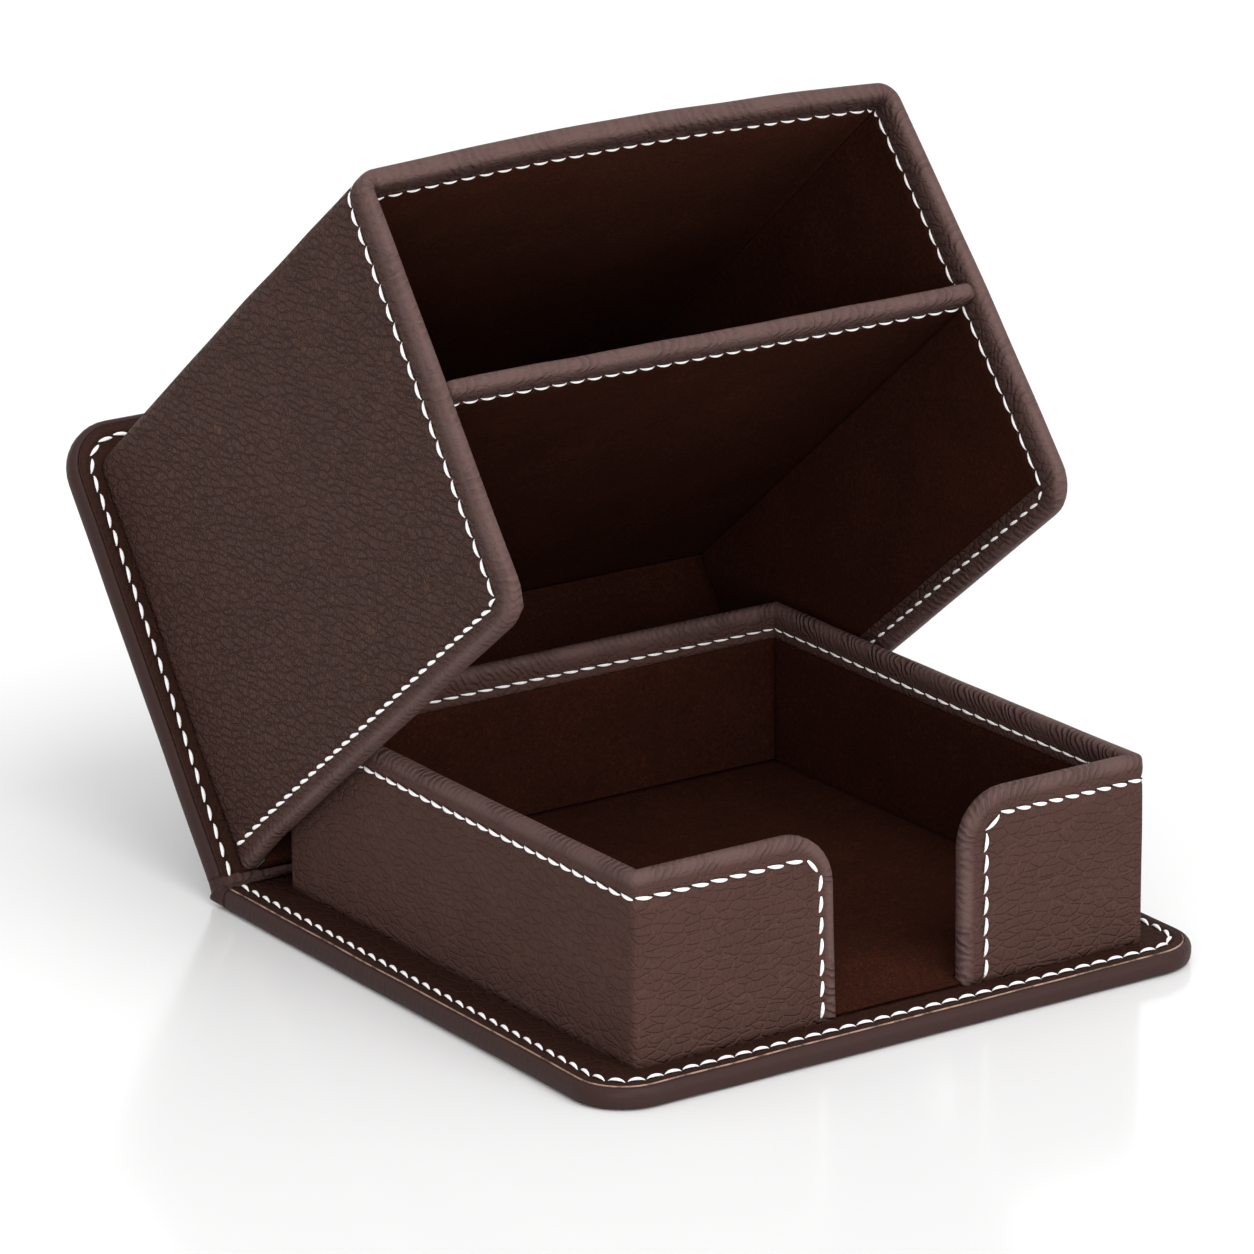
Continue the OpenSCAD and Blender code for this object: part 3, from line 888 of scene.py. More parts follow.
class NodeSheet:
    """A short way to place and join shader nodes."""

    def __init__(self, tree: bpy.types.NodeTree) -> None:
        """Takes the tree to work in."""
        self.tree = tree

    def add(self, kind: str, values: dict[str | int, Input] | None = None,
            **settings: object) -> bpy.types.Node:
        """Adds a node.

        Args:
            kind: the node's type, without its Shader prefix.
            values: numbers or sockets for its inputs, by name or number.
            **settings: its other properties.

        Returns:
            The node.
        """
        node = self.tree.nodes.new(kind if kind.startswith("Node") else "ShaderNode" + kind)
        for name, value in settings.items():
            setattr(node, name, value)
        for name, value in (values or {}).items():
            if isinstance(value, Socket):
                self.tree.links.new(value, node.inputs[name])
            else:
                node.inputs[name].default_value = value
        return node

    def math(self, operation: str, *values: Input) -> Socket:
        """Adds a Math node and returns its result."""
        return self.add("Math", dict(enumerate(values)), operation=operation).outputs[0]

    def vector(self, operation: str, one: Socket, other: Input) -> Socket:
        """Adds a Vector Math node of two values and returns its vector."""
        second = "Scale" if operation == "SCALE" else 1
        return self.add("VectorMath", {0: one, second: other}, operation=operation).outputs[0]

    def noise(self, place: Socket, scale: float, detail: float, output: str = "Fac",
              **more: float) -> Socket:
        """Adds a Noise Texture.

        Args:
            place: the coordinates that it is drawn in.
            scale: its waves per unit.
            detail: its octaves.
            output: the output that is wanted.
            **more: its other numbers.

        Returns:
            That output.
        """
        values = {"Vector": place, "Scale": scale, "Detail": detail, **more}
        return self.add("TexNoise", values).outputs[output]

    def cells(self, place: Socket, scale: Input) -> Socket:
        """Adds a cell texture and returns the distance to the cells' edges."""
        values = {"Vector": place, "Scale": scale, "Randomness": 1.0}
        return self.add("TexVoronoi", values, feature="DISTANCE_TO_EDGE").outputs["Distance"]

    def ramp(self, factor: Socket, low: float, high: float, to_low: float = 0.0,
             to_high: float = 1.0) -> Socket:
        """Adds a smooth Map Range.

        Args:
            factor: the value to map.
            low: where it starts to change.
            high: where it stops.
            to_low: the result up to low.
            to_high: the result from high.

        Returns:
            The result.
        """
        node = self.add("MapRange", {"Value": factor, "From Min": low, "From Max": high,
                                     "To Min": to_low, "To Max": to_high},
                        interpolation_type="SMOOTHSTEP")
        return node.outputs["Result"]

    def mix(self, factor: Input, a: Input, b: Input) -> Socket:
        """Adds a colour Mix node and returns its result."""
        return self.add("Mix", {0: factor, 6: a, 7: b}, data_type="RGBA").outputs[2]

    def seen(self) -> Socket:
        """Returns 1 for what shows to the camera, in a mirror or through glass, and else 0."""
        path = self.add("LightPath").outputs
        shown = self.math("MAXIMUM", path["Is Camera Ray"], path["Is Glossy Ray"])
        return self.math("MAXIMUM", shown, path["Is Transmission Ray"])


class EffectSheet(NodeSheet):
    """A shared node group under way."""

    def __init__(self, name: str, inputs: dict[str, float | None],
                 outputs: tuple[str, ...]) -> None:
        """Makes the group.

        Args:
            name: the group's name.
            inputs: starting value of each number, or None for a vector.
            outputs: names of the values that it puts out.
        """
        super().__init__(bpy.data.node_groups.new(name, "ShaderNodeTree"))
        sockets = self.tree.interface
        for label, value in inputs.items():
            kind = "NodeSocketVector" if value is None else "NodeSocketFloat"
            socket = sockets.new_socket(label, in_out="INPUT", socket_type=kind)
            if value is not None:
                socket.default_value = value
        for label in outputs:
            sockets.new_socket(label, in_out="OUTPUT", socket_type="NodeSocketFloat")
        self.given = {s.name: s for s in self.add("NodeGroupInput").outputs}
        self.sink = self.add("NodeGroupOutput")

    def give(self, name: str, value: Socket) -> None:
        """Joins a value to one of the outputs."""
        self.tree.links.new(value, self.sink.inputs[name])


class MaterialSheet(NodeSheet):
    """A material under way, with its Principled shader."""

    def __init__(self, name: str) -> None:
        """Makes the material.

        Args:
            name: its name.
        """
        self.material = bpy.data.materials.new(name)
        self.material.use_nodes = True
        super().__init__(self.material.node_tree)
        self.shader = next(n for n in self.tree.nodes if n.type == "BSDF_PRINCIPLED")

    def millimetres(self) -> Socket:
        """Adds object coordinates in millimetres and returns them."""
        return self.vector("SCALE", self.add("TexCoord").outputs["Object"], 1 / MM)

    def feed(self, name: str, value: Input) -> None:
        """Feeds one of the shader's inputs.

        Args:
            name: the input's name.
            value: a socket to join, or the input's own value.
        """
        if isinstance(value, Socket):
            self.tree.links.new(value, self.shader.inputs[name])
        else:
            self.shader.inputs[name].default_value = value

    def emboss(self, height: Socket, distance: float, strength: float = 1.0) -> None:
        """Joins a height to the shader's normal.

        Args:
            height: the height, as a share of the distance.
            distance: the distance in millimetres.
            strength: share of it that shows.
        """
        bump = self.add("Bump", {"Height": height, "Distance": distance * MM,
                                 "Strength": strength})
        self.feed("Normal", bump.outputs["Normal"])


@dataclass(frozen=True)
class PebbleEffect:
    """Pebbled leather's height, creases and tone: large cells crossed by smaller ones.

    Fields:
        cell, warp: starting values of the group's own numbers, in millimetres.
        squeeze, fine_squeeze: how dense the large and the small cells lie along each axis.
        finer: how many times smaller the small cells are.
        slope, crack: reach of a pebble's slope and of the crease beside it, in cells.
        shallow: their strength where the leather is smoothest.
        crack_depth, fine_depth, pore_depth: shares of the height.
    """

    cell: float = 1.4
    warp: float = 0.7
    squeeze: tuple[float, float, float] = (0.5, 0.5, 1.05)
    fine_squeeze: tuple[float, float, float] = (1.15, 1.15, 0.7)
    finer: float = 1.45
    slope: float = 0.16
    crack: float = 0.1
    shallow: float = 0.8
    crack_depth: float = 0.5
    fine_depth: float = 0.55
    pore_depth: float = 0.12

    def group(self) -> bpy.types.NodeTree:
        """Builds the shared group.

        Returns:
            The group, with the inputs Vector, Cell and Warp.
        """
        sheet = EffectSheet("PebbleGrain",
                            {"Vector": None, "Cell": self.cell, "Warp": self.warp},
                            ("Height", "Crease", "Tone"))
        place = sheet.given["Vector"]
        drift = sheet.vector("SUBTRACT", sheet.noise(place, 0.4, 1.0, "Color"), (0.5, 0.5, 0.5))
        moved = sheet.vector("ADD", place, sheet.vector("SCALE", drift, sheet.given["Warp"]))
        density = sheet.math("DIVIDE", 1.0, sheet.given["Cell"])
        large = sheet.cells(sheet.vector("MULTIPLY", moved, self.squeeze), density)
        small = sheet.cells(sheet.vector("MULTIPLY", moved, self.fine_squeeze),
                            sheet.math("MULTIPLY", density, self.finer))
        patch = sheet.noise(place, 0.15, 2.0)
        depth = sheet.ramp(patch, 0.38, 0.58, self.shallow)
        share = sheet.math("MULTIPLY", sheet.ramp(patch, 0.4, 0.6, self.shallow),
                           self.fine_depth)
        pebble = sheet.ramp(large, 0.0, self.slope)
        crack = sheet.ramp(large, 0.0, self.crack, 1.0, 0.0)
        fine = sheet.math("MULTIPLY", sheet.ramp(small, 0.0, self.crack, 1.0, 0.0), share)
        height = sheet.math("ADD", pebble, sheet.math("MULTIPLY", crack, -self.crack_depth))
        height = sheet.math("SUBTRACT", sheet.math("MULTIPLY", height, depth), fine)
        pores = sheet.noise(place, 2.5, 2.0)
        sheet.give("Height", sheet.math("MULTIPLY_ADD", pores, self.pore_depth, height))
        sheet.give("Crease", sheet.math("MAXIMUM", sheet.math("MULTIPLY", crack, depth), fine))
        sheet.give("Tone", sheet.noise(place, 0.06, 3.0))
        return sheet.tree


@dataclass(frozen=True)
class RollEffect:
    """Height and painted shade of the scale-like ripples of leather that is pulled over an edge.

    Fields:
        spacing: starting value of the group's own number, in millimetres.
        stray: how far the ripples wander along the edge.
        crown, curve: where across the edge they bow, and how much.
        climb: share of a ripple that rises.
        weakest: strength where the leather lies smoothest.
        fine: height of the fine wrinkles.
    """

    spacing: float = 2.0
    stray: float = 3.6
    crown: float = 8.6
    curve: float = 0.1
    climb: float = 0.6
    weakest: float = 0.15
    fine: float = 0.6

    def group(self) -> bpy.types.NodeTree:
        """Builds the shared group.

        Returns:
            The group, with the inputs Sheet and Spacing.
        """
        sheet = EffectSheet("RollRipples", {"Sheet": None, "Spacing": self.spacing},
                            ("Height", "Shade"))
        split = sheet.add("SeparateXYZ", {0: sheet.given["Sheet"]}).outputs
        place = sheet.add("CombineXYZ", {0: split["X"], 1: split["Y"]}).outputs[0]
        bend = sheet.noise(place, 0.26, 1.5)
        along = sheet.math("MULTIPLY_ADD", bend, self.stray, split["X"])
        side = sheet.math("SUBTRACT", split["Y"], self.crown)
        along = sheet.math("MULTIPLY_ADD", sheet.math("MULTIPLY", side, side), self.curve, along)
        turn = sheet.math("FRACT", sheet.math("DIVIDE", along, sheet.given["Spacing"]))
        wave = sheet.math("MULTIPLY", sheet.ramp(turn, 0.0, self.climb),
                          sheet.ramp(turn, self.climb, 1.0, 1.0, 0.0))
        strength = sheet.ramp(sheet.noise(place, 0.11, 1.0), 0.38, 0.62, self.weakest)
        height = sheet.math("MULTIPLY", wave, strength)
        fine = sheet.noise(place, 1.1, 3.0)
        sheet.give("Height", sheet.math("MULTIPLY_ADD", fine, self.fine, height))
        sheet.give("Shade", sheet.math("MULTIPLY", sheet.math("SUBTRACT", 1.0, wave), strength))
        return sheet.tree


@dataclass(frozen=True)
class NapEffect:
    """Suede's nap: height of the fibres, and the tone of fibres, specks and patches of nap laid
    another way.
    """

    fibre: float = 0.8
    patch: float = 0.18
    speck: float = 0.15

    def group(self) -> bpy.types.NodeTree:
        """Builds the shared group.

        Returns:
            The group, with the input Vector.
        """
        sheet = EffectSheet("SuedeNap", {"Vector": None}, ("Height", "Tone"))
        place = sheet.given["Vector"]
        patch = sheet.noise(place, 0.07, 4.0, Roughness=0.6)
        fibre = sheet.noise(place, 2.2, 3.0, Roughness=0.8, Distortion=1.2)
        speck = sheet.noise(place, 0.8, 2.0)
        tone = sheet.math("MULTIPLY_ADD", fibre, self.fibre,
                          sheet.math("MULTIPLY", patch, self.patch))
        sheet.give("Height", fibre)
        sheet.give("Tone", sheet.math("MULTIPLY_ADD", speck, self.speck, tone))
        return sheet.tree


class EffectShelf:
    """The shared node groups, each built once."""

    def __init__(self) -> None:
        """Builds the groups."""
        self.pebble = PebbleEffect().group()
        self.roll = RollEffect().group()
        self.nap = NapEffect().group()


@dataclass(frozen=True)
class LeatherFinish:
    """Pebbled leather, rippled where it rolls over an edge.

    Fields:
        colour, crease, vein_highlight, rim_sheen: colours of the leather, of the painted shade in
        the ripples' valleys, of the painted highlight along the pebbles' creases and of the
        painted sheen on rolled edges.
        cell, grain: the pebbles' size in millimetres and their height.
        ripple, pleat: the ripples' height and their spacing in millimetres.
        depth: strength of the creases' painted highlight.
        roughness, gloss: the surface's roughness and specular level.
        shine: coat on rolled edges.
    """

    name: str
    colour: Colour = (0.0710, 0.0355, 0.0300)
    crease: Colour = (0.0230, 0.0090, 0.0065)
    vein_highlight: Colour = (0.1080, 0.0580, 0.0420)
    rim_sheen: Colour = (0.1300, 0.0790, 0.0730)
    cell: float = 1.75
    grain: float = 0.5
    ripple: float = 0.32
    pleat: float = 2.1
    depth: float = 0.75
    roughness: float = 0.48
    gloss: float = 0.04
    shine: float = 0.14

    def material(self, shelf: EffectShelf) -> bpy.types.Material:
        """Makes the material.

        Args:
            shelf: the shared groups.

        Returns:
            The material.
        """
        sheet = MaterialSheet(self.name)
        cut = sheet.add("Attribute", attribute_name="sheet").outputs["Vector"]
        roll = sheet.add("Attribute", attribute_name="roll").outputs["Fac"]
        pebble = sheet.add("Group", {"Vector": sheet.millimetres(), "Cell": self.cell},
                           node_tree=shelf.pebble).outputs
        ripples = sheet.add("Group", {"Sheet": cut, "Spacing": self.pleat},
                            node_tree=shelf.roll).outputs
        flat = sheet.math("SUBTRACT", 1.0, sheet.math("MULTIPLY", roll, 0.85))
        crease = sheet.math("MULTIPLY", pebble["Crease"], flat)
        tone = sheet.ramp(pebble["Tone"], 0.3, 0.7)
        base = sheet.mix(tone, opaque(self.colour, 0.96), opaque(self.colour, 1.05))
        # Painted sheen: rolled edges are lightened towards the rim sheen colour in place of the
        # light they catch; the same share weights their coat.
        rim_sheen = sheet.math("MULTIPLY", sheet.math("POWER", roll, 3.0), 0.75)
        base = sheet.mix(rim_sheen, base, opaque(self.rim_sheen))
        # Painted shade: in the ripples' valleys on rolled edges the colour darkens towards the
        # crease colour.
        shade = sheet.math("MULTIPLY", sheet.math("MULTIPLY", ripples["Shade"], rim_sheen),
                           self.ripple)
        base = sheet.mix(shade, base, opaque(self.crease))
        # Painted highlight: the pebbles' creases are lightened towards the vein highlight colour,
        # in place of their edges catching light.
        base = sheet.mix(sheet.math("MULTIPLY", crease, self.depth), base, opaque(self.vein_highlight))
        sheet.feed("Base Color", base)
        sheet.feed("Roughness", sheet.math("MULTIPLY_ADD", crease, 0.2, self.roughness))
        sheet.feed("Coat Weight", sheet.math("MULTIPLY", rim_sheen, self.shine))
        sheet.feed("Coat Roughness", 0.3)
        sheet.feed("Specular IOR Level", self.gloss)
        high = sheet.math("MULTIPLY", sheet.math("MULTIPLY", pebble["Height"], flat),
                          self.grain)
        waves = sheet.math("MULTIPLY", sheet.math("MULTIPLY", ripples["Height"], roll),
                           self.ripple)
        sheet.emboss(sheet.math("ADD", high, waves), 1.0)
        return sheet.material


@dataclass(frozen=True)
class SuedeFinish:
    """Dark red-brown suede with a combed nap; its lighter copy on the box's top is painted light.
    """

    name: str
    colour: Colour = (0.0330, 0.0105, 0.0068)
    dark: Colour = (0.0200, 0.0072, 0.0050)
    light: Colour = (0.0760, 0.0200, 0.0105)

    def material(self, shelf: EffectShelf) -> bpy.types.Material:
        """Makes the material.

        Args:
            shelf: the shared groups.

        Returns:
            The material.
        """
        sheet = MaterialSheet(self.name)
        nap = sheet.add("Group", {"Vector": sheet.millimetres()}, node_tree=shelf.nap).outputs
        base = sheet.mix(sheet.ramp(nap["Tone"], 0.42, 0.6), opaque(self.dark),
                         opaque(self.colour))
        base = sheet.mix(sheet.ramp(nap["Tone"], 0.58, 0.76), base, opaque(self.light))
        sheet.feed("Base Color", base)
        sheet.feed("Roughness", 0.95)
        sheet.feed("Specular IOR Level", 0.0)
        sheet.feed("Sheen Weight", 0.008)
        sheet.feed("Sheen Roughness", 0.5)
        sheet.feed("Sheen Tint", (0.7, 0.35, 0.25, 1.0))
        sheet.emboss(nap["Height"], 0.22)
        return sheet.material


@dataclass(frozen=True)
class ThreadFinish:
    """Waxed white thread with a fine twist and a faint painted glow."""

    name: str
    colour: Colour = (0.96, 0.955, 0.94)
    glow: float = 0.12
    twist: float = 7.0

    def material(self) -> bpy.types.Material:
        """Makes the material.

        Returns:
            The material.
        """
        sheet = MaterialSheet(self.name)
        cut = sheet.add("Attribute", attribute_name="sheet").outputs["Vector"]
        split = sheet.add("SeparateXYZ", {0: cut}).outputs
        phase = sheet.math("MULTIPLY_ADD", split["X"], self.twist, split["Y"])
        strand = sheet.math("MULTIPLY_ADD", sheet.math("SINE", phase), 0.5, 0.5)
        sheet.feed("Base Color", sheet.mix(sheet.ramp(strand, 0.0, 0.5),
                                           opaque(self.colour, 0.9), opaque(self.colour)))
        sheet.feed("Roughness", 0.6)
        # Painted light: the thread glows faintly so that it stays white.
        sheet.feed("Emission Color", opaque(self.colour))
        sheet.feed("Emission Strength", self.glow)
        sheet.emboss(strand, 0.04, 0.6)
        return sheet.material


@dataclass(frozen=True)
class FibreFinish:
    """Plain fibrous stock: the boards' grey fibre, a sheet's raw cut edge, or the painted shade of
    a needle hole.
    """

    name: str
    colour: Colour
    dark: Colour
    grain: float = 1.6
    balance: float = 0.5

    def material(self) -> bpy.types.Material:
        """Makes the material.

        Returns:
            The material.
        """
        sheet = MaterialSheet(self.name)
        fibre = sheet.noise(sheet.millimetres(), self.grain, 4.0, Roughness=0.65)
        share = sheet.ramp(fibre, self.balance - 0.14, self.balance + 0.14)
        sheet.feed("Base Color", sheet.mix(share, opaque(self.dark), opaque(self.colour)))
        sheet.feed("Roughness", 0.9)
        sheet.emboss(fibre, 0.12)
        return sheet.material


@dataclass
class Wardrobe:
    """All the finishes, made once and handed to every sub-assembly."""

    shelf: EffectShelf = field(default_factory=EffectShelf)

    def __post_init__(self) -> None:
        """Makes the materials."""
        self.leather = LeatherFinish("pebbled_leather").material(self.shelf)
        self.tray = LeatherFinish("tray_leather", cell=1.85, grain=0.16, depth=0.35, ripple=0.4,
                                  pleat=1.7, shine=0.07).material(self.shelf)
        # The plate leather's painted rim sheen lies just under its own colour, so its rolled edges
        # stay about as dark as the rest.
        self.edge = LeatherFinish("plate_leather", colour=(0.0450, 0.0230, 0.0205),
                                  vein_highlight=(0.0560, 0.0300, 0.0250),
                                  rim_sheen=(0.0410, 0.0215, 0.0190), cell=1.5, grain=0.12,
                                  ripple=0.06).material(self.shelf)
        # The top sheets' leather is darker than the rest: partly its own colour, partly painted
        # shade from the tray and the box beside it.
        self.top = LeatherFinish("board_top_leather", colour=(0.0300, 0.0125, 0.0092),
                                 vein_highlight=(0.0400, 0.0180, 0.0135), cell=1.9, grain=0.12,
                                 roughness=0.5, gloss=0.01).material(self.shelf)
        self.suede = SuedeFinish("brown_suede").material(self.shelf)
        # A lighter copy of the suede for the box's top lining: painted light where the ceiling gets
        # too little light.
        self.lit_top_suede = SuedeFinish("painted_light_suede", colour=(0.0580, 0.0190, 0.0120),
                                   dark=(0.0370, 0.0135, 0.0092),
                                   light=(0.1150, 0.0330, 0.0175)).material(self.shelf)
        self.thread = ThreadFinish("white_thread").material()
        self.board = FibreFinish("grey_fibre_board", (0.33, 0.3, 0.25),
                                 (0.2, 0.18, 0.15)).material()
        self.cut = FibreFinish("raw_cut_edge", (0.40, 0.25, 0.19), (0.06, 0.03, 0.022),
                               grain=0.3, balance=0.46).material()
        # Near black: painted shade inside the needle holes.
        self.hole = FibreFinish("needle_hole_shade", (0.006, 0.003, 0.003),
                                (0.003, 0.002, 0.002)).material()


def dress(piece: bpy.types.Object, slot: Slot, body: Body | None, *nodes: str) -> None:
    """Puts a finished piece in the model.

    Args:
        piece: the piece.
        slot: the record's slot; not used.
        body: the body it moves with, or None for a piece that joins both and is attached to
            neither.
        *nodes: the solids that it stands for.
    """
    if body is not None:
        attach(piece, body.value)
    if nodes:
        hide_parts(*nodes)
    log.info("piece %s: %d faces, stands for %s", piece.name, len(piece.data.polygons),
             ", ".join(nodes) or "nothing")


# Sub-assemblies, from the boards to the studio

NEEDLE = Needlework()
INNER_NEEDLE = Needlework(width=0.6, height=0.44, rise=0.12, slant=0.3, hole=0.34)


@dataclass(frozen=True)
class CoveredPlate:
    """A board covered from below, with a top sheet laid over it and sewn round.

    Fields:
        ledge: how far the top sheet's cut edge stays inside the board's edge.
        seam_end: place of the seam's first and last hole, in from the side and up from the root.
    """

    label: str
    body: Body
    surface: PlateSurface
    length: float
    thickness: float
    corner: float = 11.0
    sheet_t: float = 0.8
    ledge: float = 1.15
    stitch: float = 3.7
    groove: float = 0.26
    seam_end: tuple[float, float] = (3.8, -0.1)
    seed: int = 1

    def cover_stations(self) -> list[Station]:
        """Returns the cover's section, from the face below round the edge to the ledge."""
        t = self.thickness
        below = [(6.0, 0.0, 0), (3.0, 0.0, 0.2), (1.2, 0.0, 0.5), (0.5, 0.03, 0.8)]
        edge = [(0.05, 0.28, 1), (-0.2, 0.8, 1), (-0.35, 1.6, 1), (-0.35, t - 1.75, 1),
                (-0.2, t - 1.1, 1), (0.15, t - 0.55, 1), (0.6, t - 0.24, 1)]
        ledge = [(1.0, t - 0.24, 0.8), (1.14, t - 0.6, 0.5), (1.3, t - 0.9, 0.5),
                 (3.0, t - 1.0, 0)]
        return [Station(*values) for values in below + edge + ledge]

    def sheet_stations(self) -> list[Station]:
        """Returns the top sheet's section, from its glued face round its cut edge to its top."""
        t, low = self.thickness, self.thickness - self.sheet_t
        g, at, e = self.groove, self.stitch, self.ledge
        return [Station(e + 2.0, low - 0.05), Station(e + 0.06, low - 0.05),
                Station(e, low + 0.1), Station(e, t - 0.18, 0), Station(e + 0.14, t - 0.05, 0.3),
                Station(e + 0.6, t, 0.5), Station(at - 1.1, t + 0.04, 0.5),
                Station(at - 0.7, t - 0.35 * g, 0.4), Station(at - 0.35, t - 0.85 * g, 0.3),
                Station(at, t - g, 0.2), Station(at + 0.35, t - 0.85 * g, 0.2),
                Station(at + 0.75, t - 0.35 * g, 0.2), Station(at + 1.3, t, 0.1),
                Station(at + 2.4, t + 0.03, 0)]

    def cut_piece(self) -> Sheet:
        """Returns the board's outline."""
        return Sheet(self.surface.width, self.length, self.corner, margin=16.0, arc=9)

    def build(self, wardrobe: Wardrobe) -> None:
        """Makes the cover, the top sheet and the stitches.

        Args:
            wardrobe: the finishes.
        """
        under = Draft()
        ripple = Ripple(0.05, 24, self.seed)
        wrap_panel(under, self.cut_piece(), self.cover_stations(), self.surface, ripple)
        dress(under.build(self.label + "_cover_leather", [wardrobe.edge]),
              Slot.LEATHER, self.body, self.label + "_cover")
        over = Draft()
        stations = self.sheet_stations()
        kinds = [0, 0, 0, 1, 1] + [0] * (len(stations) - 4)
        wrap_panel(over, self.cut_piece(), stations, self.surface, ripple, kinds)
        cut = wardrobe.edge if self.surface.on_lid else wardrobe.cut
        piece = over.build(self.label + "_top_sheet", [wardrobe.top, cut])
        node = self.label + ("_front_leather" if self.surface.on_lid else "_top_leather")
        dress(piece, Slot.LEATHER, self.body, node)
        self.sew(wardrobe)

    def seam_line(self) -> tuple[tuple[float, float], ...]:
        """Returns the seam round the board, its corners cut across by single stitches."""
        w, v, d = self.surface.width, self.length, self.stitch
        r = self.corner - d
        turn = [math.radians(a) for a in (0, 30, 60, 90)]
        left = [(d + r - r * math.cos(a), v - d - r + r * math.sin(a)) for a in turn]
        right = [(w - d - r + r * math.sin(a), v - d - r + r * math.cos(a)) for a in turn]
        end, start = self.seam_end
        return ((end, start), (d, start + 40), *left, *right, (w - d, start + 40),
                (w - end, start))

    def sew(self, wardrobe: Wardrobe) -> None:
        """Makes the board's stitches.

        Args:
            wardrobe: the finishes.
        """
        draft = Draft()
        NEEDLE.sew(draft, Seam(self.surface, self.seam_line(), self.thickness, inside=True))
        dress(draft.build(self.label + "_stitches", [wardrobe.thread, wardrobe.hole]),
              Slot.THREAD, self.body, self.label + "_thread")


